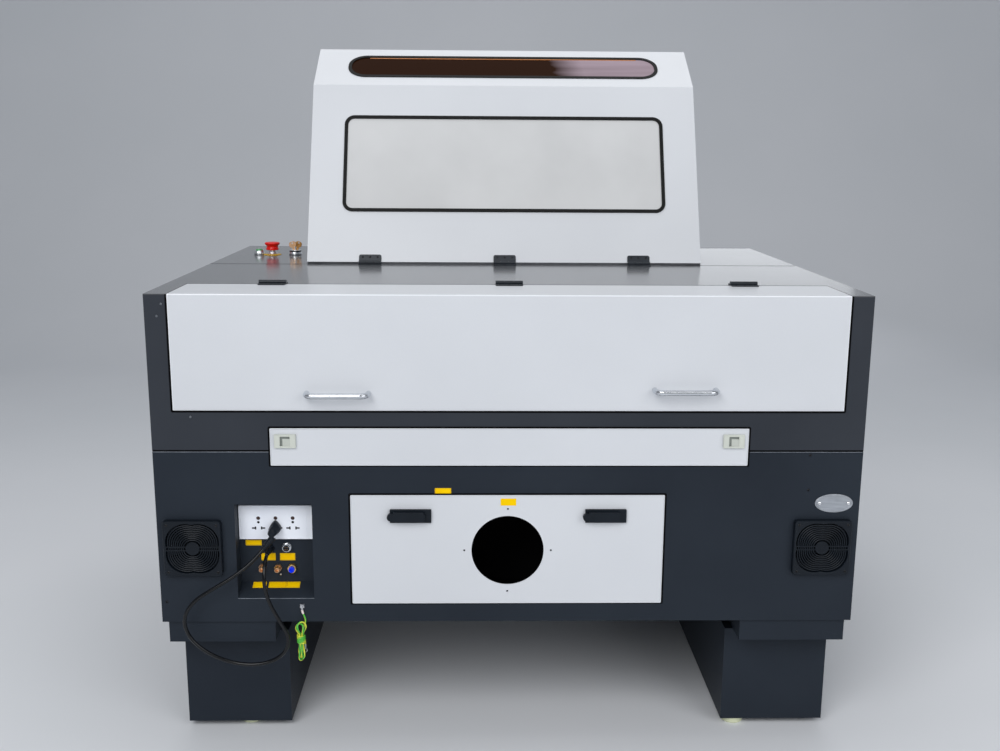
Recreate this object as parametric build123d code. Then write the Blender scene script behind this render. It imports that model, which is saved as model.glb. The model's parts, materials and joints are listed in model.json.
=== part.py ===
from build123d import *
import math
import os

# Laser engraver: a sheet-metal cabinet on two pedestals, with a lid, a rear door over the
# laser tube, a pass-through flap, an exhaust door and a moving gantry, head and bed.
# x runs left to right seen from the rear, z is up from the floor, and y counts forward from
# the rear face of the case. Everything is moved by rear_y on export.

# ---------------------------------------------------------------- driving dimensions, mm
# Case
body_width = 1500.0
body_depth = 1230.0
body_top = 1000.0
case_height = 715.0
upper_height = 332.0
seam_gap = 2.0
sheet = 2.0
seat_gap = 0.3
opening_gap = 2.0
edge_gap = 3.0
half_width = body_width / 2
case_bottom = body_top - case_height
seam_height = body_top - upper_height

# Base
plinth_height = 49.0
plinth_side = 12.0
plinth_width = 230.0
plinth_inner = half_width - plinth_side - plinth_width
plinth_setback = 6.0
pedestal_side = 28.0
pedestal_width = 232.0
pedestal_inner = half_width - pedestal_side - pedestal_width
pedestal_setback = 65.0
pedestal_wall = 3.0
foot_radius = 25.0
foot_height = 14.0
foot_stud_radius = 6.0
foot_stud_length = 60.0
foot_left_inset = 163.0
foot_left_depth = 104.0
foot_right_inset = 228.0
foot_right_depth = 92.0
foot_places = [(-half_width + foot_left_inset, foot_left_depth),
               (half_width - foot_right_inset, foot_right_depth)]

# Lid
lid_hinge_depth = 577.0
lid_side = 245.0
lid_half_width = half_width - lid_side
lid_front_run = 158.0
lid_main_length = body_depth - lid_hinge_depth - lid_front_run
lid_bend = 32.3
lid_flange = 20.0
lid_open = 65.7
window_side = 86.0
window_half_width = lid_half_width - window_side
window_near = 139.0
window_bend_gap = 88.0
window_far = lid_main_length - window_bend_gap
window_corner = 26.0
slot_window_side = 85.0
slot_window_half_width = lid_half_width - slot_window_side
slot_window_near = 40.0
slot_window_far = 150.0
slot_window_corner = 50.0
gasket_lip = 9.0
gasket_cover = 4.0
gasket_height = 2.5
gasket_web = 1.8
web_play = 0.2
pane_thickness = 3.0

# Hinges
pin_radius = 2.5
pin_play = 0.05
knuckle_radius = 4.4
knuckle_gap = 0.3
leaf_thickness = 2.5
leaf_clearance = 1.2
lid_hinge_width = 57.0
lid_hinge_places = [-344.0, 0.0, 344.0]
door_hinge_width = 60.0
door_hinge_places = [-517.0, 0.0, 517.0]
leaf_reach = 22.0
leaf_corner = 5.0

# Rear door over the laser tube
door_side = 48.0
door_half_width = half_width - door_side
door_height = 244.0
door_bottom = body_top - door_height
door_strip = 168.0
handle_places = [-360.0, 365.0]
handle_rises = [37.0, 45.0]
handle_length = 140.0
handle_reach = 34.0
handle_bar_radius = 6.0
handle_bend = 16.0

# Pass-through flap
flap_side = 247.0
flap_half_width = half_width - flap_side
flap_height = 80.0
flap_seam_drop = 30.0
flap_bottom = seam_height - flap_seam_drop
slot_cover = 23.0
slot_half_width = flap_half_width - slot_cover
slot_margin = 12.0
slot_bottom = flap_bottom + slot_margin
slot_top = flap_bottom + flap_height - slot_margin
flap_latch_width = 45.0
flap_latch_height = 29.0
flap_latch_inset = 9.0
flap_latch_thickness = 5.0
flap_latch_drop = 12.0
flap_latch_travel = 8.0
finger_square = 21.0
finger_depth = 3.0
neck_width = 8.0
neck_height = 12.0

# Exhaust door
service_x = -4.0
service_half_width = 334.0
service_case_gap = 43.0
service_bottom = case_bottom + service_case_gap
service_height = 244.0
service_overlap = 20.0
exhaust_rise = 120.5
exhaust_height = service_bottom + exhaust_rise
exhaust_radius = 77.5
exhaust_pcd = 186.0
exhaust_hole_radius = 2.25
lever_places = [-211.0, 205.0]
lever_rise = 199.0
lever_height = service_bottom + lever_rise
lever_base_length = 88.0
lever_base_height = 29.0
lever_base_thickness = 6.0
lever_base_corner = 1.5
lever_reach = 67.0
lever_width = 21.0
lever_corner = 6.0
lever_thickness = 9.0
lever_pivot_offset = 36.0
lever_nose = 5.6
lever_nose_radius = 8.0
lever_shaft_radius = 5.0
shaft_play = 0.05

# Chamber and tube bay
bay_depth = 200.0
bay_floor_drop = 4.0
chamber_half_width = lid_half_width + edge_gap
chamber_depth = 520.0
chamber_floor_height = body_top - chamber_depth
plenum_rise = 160.0
plenum_top = chamber_floor_height + plenum_rise
plenum_foot = 15.0
plenum_bottom = case_bottom + plenum_foot
tube_radius = 30.0
tube_end_radius = 22.0
tube_end_length = 60.0
tube_left_inset = 360.0
tube_right_inset = 60.0
tube_left = -half_width + tube_left_inset
tube_length = half_width - tube_right_inset - tube_left
tube_depth = 96.0
tube_drop = 120.0
tube_height = body_top - tube_drop
cradle_inset = 190.0
cradle_places = [tube_left + cradle_inset, tube_left + tube_length - cradle_inset]
cradle_width = 40.0
cradle_half_depth = 45.0
mirror_gap = 50.0
mirror_x = tube_left - mirror_gap
mirror_size = 44.0
beam_hole_radius = 14.0

# Motion
rail_inset = 26.0
rail_width = 20.0
rail_height = 18.0
rail_shelf_drop = 162.0
rail_shelf_height = body_top - rail_shelf_drop
rail_shelf_width = 52.0
rail_wall_flange = 40.0
rail_start_gap = 40.0
rail_start = bay_depth + rail_start_gap
rail_end_gap = 30.0
rail_end = body_depth - rail_end_gap
gantry_depth = 900.0
beam_depth = 40.0
beam_height = 60.0
carriage_half_length = 45.0
carriage_width = 40.0
carriage_thickness = 7.0
head_width = 60.0
head_plate = 14.0
head_plate_height = 80.0
lens_tube_radius = 13.0
lens_offset = 34.0
nozzle_drop = 270.0
nozzle_height = body_top - nozzle_drop
nozzle_length = 25.0
nozzle_tip_radius = 4.0
focus_gap = 18.0
bed_top = nozzle_height - focus_gap
bed_side_gap = 48.0
bed_half_width = chamber_half_width - bed_side_gap
bed_near = 520.0
bed_front_gap = 40.0
bed_far = body_depth - bed_front_gap
bed_bar = 20.0
bed_frame_height = 38.0
bed_panel_thickness = 12.0
post_radius = 8.0
post_side_gap = 24.0
post_x = chamber_half_width - post_side_gap
post_inset = 80.0
post_depths = [bed_near + post_inset, bed_far - post_inset]
post_length = 330.0
ear_half_width = 15.0

# Struts of the lid, both ends measured from the hinge line of the lid
strut_case_forward = 50.5
strut_case_drop = 65.0
strut_lid_radius = 211.0
strut_lid_angle = -7.1
strut_side_gap = 23.0
strut_x = chamber_half_width - strut_side_gap
strut_cylinder_radius = 10.0
strut_rod_radius = 5.0
strut_cylinder_length = 120.0
strut_rod_length = 145.0
strut_eye_radius = 9.0
strut_eye_half_width = 5.0
stud_radius = 4.0
stud_overhang = 3.0
bracket_side = 30.0
bracket_thickness = 3.0
tongue_half_width = 2.0
tongue_radius = 7.0
tongue_neck = 20.0
lug_half_length = 12.0

# Fans
fan_left_inset = 76.0
fan_right_inset = 78.0
fan_places = [-half_width + fan_left_inset, half_width - fan_right_inset]
fan_rise = 171.5
fan_height = case_bottom + fan_rise
fan_size = 123.0
fan_hole_radius = 57.0
guard_thickness = 6.0
guard_rings = 8
guard_ring_width = 2.0
guard_hub_radius = 15.0
rib_height = 3.0
rib_offset = 5.0
fan_housing_depth = 38.0
fan_bore_radius = 56.0
rotor_radius = 53.0
rotor_hub_radius = 20.0
rotor_depth = 22.0
rotor_blades = 7
rotor_shaft_radius = 3.0
stator_radius = 22.0
stator_depth = 6.0

# Connector recess
recess_inset = 164.0
recess_left = -half_width + recess_inset
recess_width = 166.5
recess_right = recess_left + recess_width
recess_rise = 54.0
recess_bottom = case_bottom + recess_rise
recess_height = 213.5
recess_top = recess_bottom + recess_height
recess_slope = 21.0
recess_fold = recess_bottom + recess_slope
recess_depth = 40.0
recess_wall = 1.5
socket_side_gap = 2.5
socket_left = recess_left + socket_side_gap
socket_width = 159.5
socket_right = socket_left + socket_width
socket_height = 76.5
socket_top_gap = 14.0
socket_high = recess_top - socket_top_gap
socket_low = socket_high - socket_height
socket_thickness = 8.0
socket_middle_inset = 79.0
socket_middle = socket_left + socket_middle_inset
socket_pitch = 37.0
outlet_hole_radius = 4.2
outlet_hole_rise = 9.2
outlet_pin_radius = 2.9
outlet_slot_inner = 5.0
outlet_slot_outer = 14.4
outlet_slot_width = 3.4
outlet_slot_drop = 13.2
outlet_cross_length = 7.0
outlet_cross_width = 3.0
gland_inset = 66.0
gland_drop = 24.0
gland_x = recess_left + gland_inset
gland_z = socket_low - gland_drop
gland_radius = 9.0
gland_length = 18.0
signal_inset = 103.3
signal_drop = 19.6
signal_x = recess_left + signal_inset
signal_z = socket_low - signal_drop
signal_radius = 10.0
signal_length = 14.0
pipe_radius = 7.0
air_pipe_radius = 8.0
water_out_inset = 49.0
water_out_drop = 67.0
water_in_inset = 82.6
air_inset = 113.5
pipe_drop = 68.0
pipe_places = [(recess_left + water_out_inset, socket_low - water_out_drop, pipe_radius),
               (recess_left + water_in_inset, socket_low - pipe_drop, pipe_radius),
               (recess_left + air_inset, socket_low - pipe_drop, air_pipe_radius)]
pipe_length = 20.0
pipe_nut_length = 7.0
pipe_nut_extra = 2.0
earth_inset = 28.0
earth_drop = 17.5
earth_x = recess_right - earth_inset
earth_z = recess_bottom - earth_drop
earth_radius = 2.8
lug_width = 9.0
lug_thickness = 2.0

# Controls on the left top cover
control_depth = 815.0
estop_inset = 115.0
estop_x = -half_width + estop_inset
estop_radius = 20.0
estop_head_low = 13.5
estop_head_high = 35.0
estop_stem_radius = 8.0
estop_collar_radius = 14.0
estop_collar_height = 8.0
start_gap = 36.0
start_x = estop_x - start_gap
start_bezel_radius = 13.0
start_bezel_height = 12.0
start_cap_radius = 9.5
start_cap_rise = 4.5
key_gap = 63.0
key_x = estop_x + key_gap
key_barrel_radius = 15.0
key_barrel_height = 14.0
key_shank_radius = 4.0
key_bow_width = 25.0
key_bow_height = 23.0
key_bow_thickness = 3.0
button_play = 0.04
button_depth = 10.0
keypad_inset = 120.0
keypad_x = -half_width + keypad_inset
keypad_edge = 16.0
keypad_length = 150.0
keypad_half_width = 75.0
keypad_thickness = 4.0

# Electronics
supply_inset = 110.0
supply_x = half_width - supply_inset
supply_near = 300.0
supply_size = (150.0, 300.0, 170.0)
controller_inset = 110.0
controller_x = controller_inset - half_width
controller_near = 320.0
controller_size = (120.0, 220.0, 60.0)

# Cords
cord_diameter = 8.0
plug_half_width = 15.0
plug_rise = 6.0
plug_low = socket_low + plug_rise
plug_height = 39.0
plug_reach = 36.0
relief_length = 30.0
relief_base_radius = 8.0
relief_tip_radius = 5.2
relief_direction = (-0.62, -0.3, -0.72)
earth_wire_diameter = 3.5
hank_half_width = 12.5
hank_half_depth = 7.0
hank_drop = 30.5
hank_top = earth_z - hank_drop
hank_length = 92.0
hank_depth = -10.5
hank_shift = -2.5
hank_x = earth_x + hank_shift

# ---------------------------------------------------------------- derived places
bend_rad = math.radians(lid_bend)
bend_depth = lid_hinge_depth + lid_main_length
front_height = body_top - (body_depth - bend_depth) * math.tan(bend_rad)
lid_front_length = (body_depth - bend_depth) / math.cos(bend_rad)
axis_height = body_top + knuckle_radius + seat_gap
deck_front = lid_hinge_depth - edge_gap
door_top = body_top
bay_floor = door_bottom - bay_floor_drop
service_top = service_bottom + service_height
face_out = -seat_gap - sheet
seam_low = seam_height - seam_gap / 2
seam_high = seam_height + seam_gap / 2
crimp_end = earth_z - lug_width + 1
rear_y = -(body_depth - handle_reach) / 2

centre = (Align.CENTER, Align.CENTER, Align.MIN)
nodes = {}


def block(x0, x1, y0, y1, z0, z1):
    """A box between three pairs of coordinates."""
    middle = Pos((x0 + x1) / 2, (y0 + y1) / 2, (z0 + z1) / 2)
    return middle * Box(abs(x1 - x0), abs(y1 - y0), abs(z1 - z0))


def rod(start, direction, radius, length):
    """A cylinder from a start point along a direction."""
    return Plane(origin=start, z_dir=direction) * Cylinder(radius, length, align=centre)


def prism(points, x0, x1):
    """A polygon of (y, z) points, extruded from x0 to x1."""
    outline = Polyline(*[(x0, y, z) for y, z in points], close=True)
    return extrude(make_face(outline), x1 - x0, dir=(1, 0, 0))


def group(*pieces):
    """Separate solids that share one node."""
    solids = [solid for piece in pieces for solid in piece.solids()]
    return Compound(children=solids)


def mirrored(piece):
    """The same piece on the other side of the middle."""
    return mirror(piece, about=Plane.YZ)


def roof_height(y, below=0.0):
    """Height of the flat and sloped roof line, offset inward by below."""
    bend = bend_depth - below * math.tan(bend_rad / 2)
    if y <= bend:
        return body_top - below
    return body_top - below - (y - bend) * math.tan(bend_rad)


def roof_band(start, end, upper, lower):
    """Outline of a sheet that follows the roof line between two offsets."""
    bend_up = bend_depth - upper * math.tan(bend_rad / 2)
    bend_low = bend_depth - lower * math.tan(bend_rad / 2)
    return [
        (start, body_top - upper), (bend_up, body_top - upper), (end, roof_height(end, upper)),
        (end, roof_height(end, lower)), (bend_low, body_top - lower), (start, body_top - lower),
    ]


# ---------------------------------------------------------------- case
def lower_rear_panel():
    panel = block(-half_width, half_width, 0, sheet, case_bottom, seam_low)
    panel -= block(service_x - service_half_width + service_overlap,
                   service_x + service_half_width - service_overlap, -sheet, 2 * sheet,
                   service_bottom + service_overlap, service_top - service_overlap)
    panel -= block(recess_left, recess_right, -sheet, 2 * sheet, recess_bottom, recess_top)
    panel -= block(-slot_half_width, slot_half_width, -sheet, 2 * sheet, slot_bottom, seam_high)
    for x in fan_places:
        panel -= rod((x, -sheet, fan_height), (0, 1, 0), fan_hole_radius, 3 * sheet)
    return panel


def upper_rear_panel():
    panel = block(-half_width, half_width, 0, sheet, seam_high, body_top - sheet)
    panel -= block(-door_half_width - opening_gap, door_half_width + opening_gap, -sheet,
                   2 * sheet, door_bottom - opening_gap, body_top)
    return panel - block(-slot_half_width, slot_half_width, -sheet, 2 * sheet,
                         seam_low, slot_top)


def side_panels():
    far = body_depth - sheet - seat_gap
    outline = [(sheet, case_bottom), (far, case_bottom), (far, roof_height(far, sheet)),
               (bend_depth - sheet * math.tan(bend_rad / 2), body_top - sheet),
               (sheet, body_top - sheet)]
    left = prism(outline, -half_width, -half_width + sheet)
    return group(left, mirrored(left))


def case_floor():
    inside = half_width - sheet
    return block(-inside, inside, sheet, body_depth - sheet, case_bottom, case_bottom + sheet)


def front_panel():
    centre_top = front_height - lid_flange * math.cos(bend_rad) - edge_gap
    panel = block(-half_width, half_width, body_depth - sheet, body_depth,
                  case_bottom, centre_top)
    shoulder_top = roof_height(body_depth, sheet)
    for low, high in ((-half_width, -chamber_half_width), (chamber_half_width, half_width)):
        panel += block(low, high, body_depth - sheet, body_depth, centre_top, shoulder_top)
    return panel


def rear_deck():
    near = door_strip + edge_gap
    deck = block(-half_width, half_width, near, deck_front, body_top - sheet, body_top)
    for side in (-1, 1):
        deck += block(side * (door_half_width + opening_gap), side * half_width, 0, near,
                      body_top - sheet, body_top)
    inner = chamber_half_width - seat_gap
    return deck + block(-inner, inner, deck_front - sheet, deck_front,
                        body_top - lid_flange, body_top - sheet)


def top_covers():
    outline = roof_band(deck_front, body_depth, 0, sheet)
    left = prism(outline, -half_width, -chamber_half_width)
    return group(left, mirrored(left))


def inner_walls():
    near = bay_depth + sheet
    far = body_depth - sheet - seat_gap
    outline = [(near, chamber_floor_height), (far, chamber_floor_height),
               (far, roof_height(far, sheet)),
               (bend_depth - sheet * math.tan(bend_rad / 2), body_top - sheet),
               (near, body_top - sheet)]
    left = prism(outline, -chamber_half_width - sheet, -chamber_half_width)
    return group(left, mirrored(left))


def chamber_floor():
    return block(-chamber_half_width, chamber_half_width, bay_depth + sheet,
                 body_depth - sheet, chamber_floor_height, chamber_floor_height + sheet)


def exhaust_plenum():
    outer = service_half_width + service_overlap
    low, high = service_x - outer, service_x + outer
    box = block(low, high, sheet, bay_depth, plenum_bottom, plenum_top)
    box -= block(low + sheet, high - sheet, 0, bay_depth - sheet,
                 plenum_bottom + sheet, plenum_top + sheet)
    return box + block(-chamber_half_width, chamber_half_width, bay_depth - sheet, bay_depth,
                       chamber_floor_height, plenum_top)


def tube_bay():
    inside = half_width - sheet
    bay = block(-inside, inside, sheet, bay_depth + sheet, bay_floor - sheet, bay_floor)
    bay += block(-inside, inside, bay_depth, bay_depth + sheet, bay_floor, body_top - sheet)
    return bay - rod((mirror_x, bay_depth - sheet, tube_height), (0, 1, 0),
                     beam_hole_radius, 3 * sheet)


# ---------------------------------------------------------------- base
def plinths():
    left = block(-plinth_inner - plinth_width, -plinth_inner, plinth_setback,
                 body_depth - pedestal_setback, case_bottom - plinth_height, case_bottom)
    return group(left, mirrored(left))


def pedestals():
    """Two closed boxes, each of six welded plates, bored below for the feet."""
    top = case_bottom - plinth_height
    outer = pedestal_inner + pedestal_width
    near, far = pedestal_setback, body_depth - pedestal_setback
    low, high = foot_height + pedestal_wall, top - pedestal_wall
    x0, x1 = -outer + pedestal_wall, -pedestal_inner - pedestal_wall
    walls = [block(-outer, x0, near, far, low, high),
             block(x1, -pedestal_inner, near, far, low, high),
             block(x0, x1, near, near + pedestal_wall, low, high),
             block(x0, x1, far - pedestal_wall, far, low, high),
             block(-outer, -pedestal_inner, near, far, high, top)]
    soles = [block(-outer, -pedestal_inner, near, far, foot_height, low),
             block(pedestal_inner, outer, near, far, foot_height, low)]
    for x, y in foot_points():
        bore = rod((x, y, 0), (0, 0, 1), foot_stud_radius + shaft_play, foot_stud_length)
        soles = [sole - bore for sole in soles]
    return group(*walls, *[mirrored(wall) for wall in walls], *soles)


def foot_points():
    front = body_depth - pedestal_setback - foot_radius - edge_gap
    return [(x, y) for x, near in foot_places for y in (near, front)]


def levelling_feet():
    feet = []
    for x, y in foot_points():
        pad = rod((x, y, 0), (0, 0, 1), foot_radius, foot_height)
        pad = chamfer(pad.edges().filter_by(GeomType.CIRCLE).sort_by(Axis.Z)[0:1], 2)
        stud = rod((x, y, foot_height), (0, 0, 1), foot_stud_radius, foot_stud_length)
        feet.append(pad + stud)
    return group(*feet)


# ---------------------------------------------------------------- hinges
def hinge_knuckle(x0, x1, axis_depth):
    return rod((x0, axis_depth, axis_height), (1, 0, 0), knuckle_radius, x1 - x0)


def hinge_leaf(x0, x1, axis_depth, side, near, reach):
    """A flat leaf on the top surface, from near to reach away from the hinge line."""
    return block(x0, x1, axis_depth + side * near, axis_depth + side * reach,
                 body_top, body_top + leaf_thickness)


def whole_leaf(x, width, axis_depth, side, near):
    """The leaf over the full width, with its two far corners rounded."""
    leaf = hinge_leaf(x - width / 2, x + width / 2, axis_depth, side, near, leaf_reach)
    upright = leaf.edges().filter_by(Axis.Z).sort_by(Axis.Y)
    return fillet(upright[-2:] if side > 0 else upright[:2], leaf_corner)


def fixed_hinge(x, width, axis_depth, side):
    """Leaf with the two outer knuckles and the pin."""
    third = width / 3
    near = knuckle_radius + leaf_clearance
    piece = whole_leaf(x, width, axis_depth, side, near)
    for x0 in (x - width / 2, x + third / 2 + knuckle_gap):
        x1 = x0 + third - knuckle_gap
        piece += hinge_knuckle(x0, x1, axis_depth)
        piece += hinge_leaf(x0, x1, axis_depth, side, 0, near)
    return piece + rod((x - width / 2, axis_depth, axis_height), (1, 0, 0), pin_radius, width)


def moving_hinge(x, width, axis_depth, side):
    """Leaf with the middle knuckle, bored for the pin."""
    near = knuckle_radius + leaf_clearance
    half = width / 6 - knuckle_gap
    piece = whole_leaf(x, width, axis_depth, side, near)
    piece += hinge_knuckle(x - half, x + half, axis_depth)
    piece += hinge_leaf(x - half, x + half, axis_depth, side, 0, near)
    return piece - rod((x - width / 2, axis_depth, axis_height), (1, 0, 0),
                       pin_radius + pin_play, width)


def hinge_leaves():
    lid = [fixed_hinge(x, lid_hinge_width, lid_hinge_depth, -1) for x in lid_hinge_places]
    door = [fixed_hinge(x, door_hinge_width, door_strip, 1) for x in door_hinge_places]
    return group(*lid, *door)


# ---------------------------------------------------------------- lid, drawn closed
main_panel = Plane(origin=(0, lid_hinge_depth, body_top), x_dir=(1, 0, 0), z_dir=(0, 0, 1))
front_slope = Plane(origin=(0, bend_depth, body_top), x_dir=(1, 0, 0),
                    z_dir=(0, math.sin(bend_rad), math.cos(bend_rad)))
lid_axis = Axis((0, lid_hinge_depth, axis_height), (1, 0, 0))


def opened(piece):
    """A piece of the closed lid, swung up to the rest position."""
    return piece.rotate(lid_axis, lid_open)


def rounded(plane, half, near, far, corner, inset, low, high):
    """A slab with round corners on a panel of the lid, inset on every side."""
    slab = extrude(RectangleRounded(2 * (half - inset), far - near - 2 * inset,
                                    corner - inset), high - low)
    return plane * Pos(0, (near + far) / 2, low) * slab


window_outlines = [
    (main_panel, window_half_width, window_near, window_far, window_corner),
    (front_slope, slot_window_half_width, slot_window_near, slot_window_far,
     slot_window_corner),
]


def lid_shell():
    start = lid_hinge_depth + edge_gap
    skin = prism(roof_band(start, body_depth, 0, sheet), -lid_half_width, lid_half_width)
    rim = prism(roof_band(start, body_depth, 0, lid_flange), -lid_half_width, lid_half_width)
    inside = lid_half_width - sheet
    far = body_depth - sheet / math.cos(bend_rad)
    hollow = prism(roof_band(start + sheet, far, sheet, lid_flange + sheet), -inside, inside)
    shell = skin + (rim - hollow)
    square_off = front_slope * Pos(0, lid_front_length, 0) * Box(
        3 * lid_half_width, lid_flange, 4 * lid_flange,
        align=(Align.CENTER, Align.MIN, Align.CENTER))
    shell -= square_off
    for outline in window_outlines:
        shell -= rounded(*outline, gasket_cover, -2 * sheet, sheet)
    for side in (-1, 1):
        shell += strut_stud(side)
    return opened(shell)


def strut_stud(side):
    """Lug and stud inside the lid flange, which the end of the strut rod stops beside."""
    angle = math.radians(strut_lid_angle)
    y = lid_hinge_depth + strut_lid_radius * math.cos(angle)
    z = axis_height + strut_lid_radius * math.sin(angle)
    end = strut_x + tongue_half_width + 2 * seat_gap
    inside = lid_half_width - sheet
    lug = block(side * (inside - bracket_thickness), side * inside, y - lug_half_length,
                y + lug_half_length, z - 2 * stud_radius, body_top - sheet)
    return lug + rod((side * end, y, z), (side, 0, 0), stud_radius, inside - 1 - end)


def lid_windows():
    panes = [rounded(*outline, gasket_cover + web_play + gasket_web + seat_gap,
                     -pane_thickness, 0) for outline in window_outlines]
    return opened(group(*panes))


def lid_seals():
    seals = []
    for outline in window_outlines:
        web = gasket_cover + web_play
        lip = rounded(*outline, 0, 0, gasket_height) - rounded(*outline, gasket_lip,
                                                               -1, gasket_height + 1)
        ring = rounded(*outline, web, -pane_thickness, 0)
        ring -= rounded(*outline, web + gasket_web, -pane_thickness - 1, 1)
        seals.append(lip + ring)
    return opened(group(*seals))


def lid_hinge_leaves():
    leaves = [moving_hinge(x, lid_hinge_width, lid_hinge_depth, 1) for x in lid_hinge_places]
    return opened(group(*leaves))


# ---------------------------------------------------------------- struts at rest
open_angle = math.radians(lid_open + strut_lid_angle)
strut_foot = Vector(0, lid_hinge_depth + strut_case_forward, axis_height - strut_case_drop)
strut_head = Vector(0, lid_hinge_depth + strut_lid_radius * math.cos(open_angle),
                    axis_height + strut_lid_radius * math.sin(open_angle))
strut_way = (strut_head - strut_foot).normalized()


def strut_cylinder(side):
    foot = strut_foot + Vector(side * strut_x, 0, 0)
    start = strut_eye_radius - 1
    tube = rod(foot + strut_way * start, strut_way, strut_cylinder_radius,
               strut_cylinder_length)
    eye = rod(foot - Vector(strut_eye_half_width, 0, 0), (1, 0, 0), strut_eye_radius,
              2 * strut_eye_half_width)
    bore = rod(foot + strut_way * (start + strut_eye_radius), strut_way,
               strut_rod_radius + button_play, strut_cylinder_length)
    pin_hole = rod(foot - Vector(3 * strut_eye_half_width, 0, 0), (1, 0, 0),
                   stud_radius + shaft_play, 6 * strut_eye_half_width)
    return tube + eye - bore - pin_hole


def strut_rod(side):
    head = strut_head + Vector(side * strut_x, 0, 0)
    shaft = rod(head - strut_way * strut_rod_length, strut_way, strut_rod_radius,
                strut_rod_length - tongue_neck)
    neck = rod(head - strut_way * tongue_neck, strut_way, tongue_half_width, tongue_neck)
    tongue = rod(head - Vector(tongue_half_width, 0, 0), (1, 0, 0), tongue_radius,
                 2 * tongue_half_width)
    return shaft + neck + tongue


def strut_brackets():
    """Wall plates with the studs that the strut cylinders turn on."""
    pieces = []
    for side in (-1, 1):
        half = bracket_side / 2
        wall = chamber_half_width
        plate = block(side * (wall - bracket_thickness), side * wall,
                      strut_foot.Y - half, strut_foot.Y + half,
                      strut_foot.Z - half, strut_foot.Z + half)
        end = strut_x - strut_eye_half_width - stud_overhang
        stud = rod((side * end, strut_foot.Y, strut_foot.Z), (side, 0, 0), stud_radius,
                   wall - bracket_thickness / 2 - end)
        pieces.append(plate + stud)
    return group(*pieces)


# ---------------------------------------------------------------- rear door
def rear_door():
    top_strip = block(-door_half_width, door_half_width, 0, door_strip - edge_gap,
                      door_top - sheet, door_top)
    return top_strip + block(-door_half_width, door_half_width, 0, sheet,
                             door_bottom, door_top - sheet)


def door_handles():
    bows = []
    reach = handle_reach - handle_bar_radius
    half = handle_length / 2 - handle_bar_radius
    for x, rise in zip(handle_places, handle_rises):
        z = door_bottom + rise
        route = [(x - half, 0, z), (x - half, -reach, z), (x + half, -reach, z),
                 (x + half, 0, z)]
        path = FilletPolyline(*route, radius=handle_bend)
        section = Plane(origin=route[0], z_dir=(0, -1, 0)) * Circle(handle_bar_radius)
        bows.append(sweep(section, path=path))
    return group(*bows)


def door_hinge_leaves():
    return group(*[moving_hinge(x, door_hinge_width, door_strip, -1)
                   for x in door_hinge_places])


# ---------------------------------------------------------------- pass-through flap
def flap_latch_middle(side):
    return side * (flap_half_width - flap_latch_inset - flap_latch_width / 2)


def neck_middle(side):
    return flap_latch_middle(side) - side * neck_width


def pass_flap():
    flap = block(-flap_half_width, flap_half_width, face_out, -seat_gap,
                 flap_bottom, flap_bottom + flap_height)
    latch_z = flap_bottom + flap_height - flap_latch_drop - flap_latch_height / 2
    for side in (-1, 1):
        x = neck_middle(side)
        inner = x - side * (flap_latch_travel + neck_width / 2 + seat_gap)
        outer = x + side * (neck_width / 2 + seat_gap)
        half = neck_height / 2 + seat_gap
        flap -= block(inner, outer, face_out - sheet, sheet, latch_z - half, latch_z + half)
    return flap


def flap_latch(side):
    """Sliding latch: a plate with a finger square and a neck through the flap."""
    x = flap_latch_middle(side)
    latch_z = flap_bottom + flap_height - flap_latch_drop - flap_latch_height / 2
    back = face_out - seat_gap
    front = back - flap_latch_thickness
    half = flap_latch_width / 2
    plate = block(x - half, x + half, front, back, latch_z - flap_latch_height / 2,
                  latch_z + flap_latch_height / 2)
    edge = finger_square / 2
    plate -= block(x - edge, x + edge, front - 1, front + finger_depth,
                   latch_z - edge, latch_z + edge)
    neck = neck_middle(side)
    return plate + block(neck - neck_width / 2, neck + neck_width / 2, back, sheet,
                         latch_z - neck_height / 2, latch_z + neck_height / 2)


# ---------------------------------------------------------------- exhaust door
def service_door():
    door = block(service_x - service_half_width, service_x + service_half_width,
                 face_out, -seat_gap, service_bottom, service_top)
    door -= rod((service_x, face_out - 1, exhaust_height), (0, 1, 0), exhaust_radius,
                sheet + 2)
    for turn in range(4):
        angle = math.radians(90 * turn)
        x = service_x + exhaust_pcd / 2 * math.cos(angle)
        z = exhaust_height + exhaust_pcd / 2 * math.sin(angle)
        door -= rod((x, face_out - 1, z), (0, 1, 0), exhaust_hole_radius, sheet + 2)
    for x in lever_places:
        door -= rod((x - lever_pivot_offset, face_out - 1, lever_height), (0, 1, 0),
                    lever_shaft_radius + shaft_play, sheet + 2)
    return door


def lever_bases():
    bases = []
    for x in lever_places:
        base = block(x - lever_base_length / 2, x + lever_base_length / 2,
                     face_out - lever_base_thickness, face_out,
                     lever_height - lever_base_height / 2,
                     lever_height + lever_base_height / 2)
        base = fillet(base.edges().filter_by(Axis.Y), lever_base_corner)
        base -= rod((x - lever_pivot_offset, face_out - 2 * lever_base_thickness,
                     lever_height), (0, 1, 0), lever_shaft_radius + shaft_play,
                    2 * lever_base_thickness + 1)
        bases.append(base)
    return group(*bases)


def door_lever(x):
    """Flat lever with a round nose at the pivot end and a round far corner."""
    pivot = x - lever_pivot_offset
    back = face_out - lever_base_thickness - seat_gap
    front = back - lever_thickness
    half = lever_width / 2
    bar = block(pivot, pivot + lever_reach, front, back, lever_height - half,
                lever_height + half)
    bar = fillet(bar.edges().filter_by(Axis.Y).sort_by(Axis.X)[-2:], lever_corner)
    nose_x = pivot - lever_nose
    nose = rod((nose_x, front, lever_height), (0, 1, 0), lever_nose_radius, lever_thickness)
    neck = block(nose_x, pivot, front, back, lever_height - lever_nose_radius,
                 lever_height + lever_nose_radius)
    shaft = rod((pivot, back - 1, lever_height), (0, 1, 0), lever_shaft_radius,
                1 - back + sheet)
    return bar + nose + neck + shaft


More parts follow.
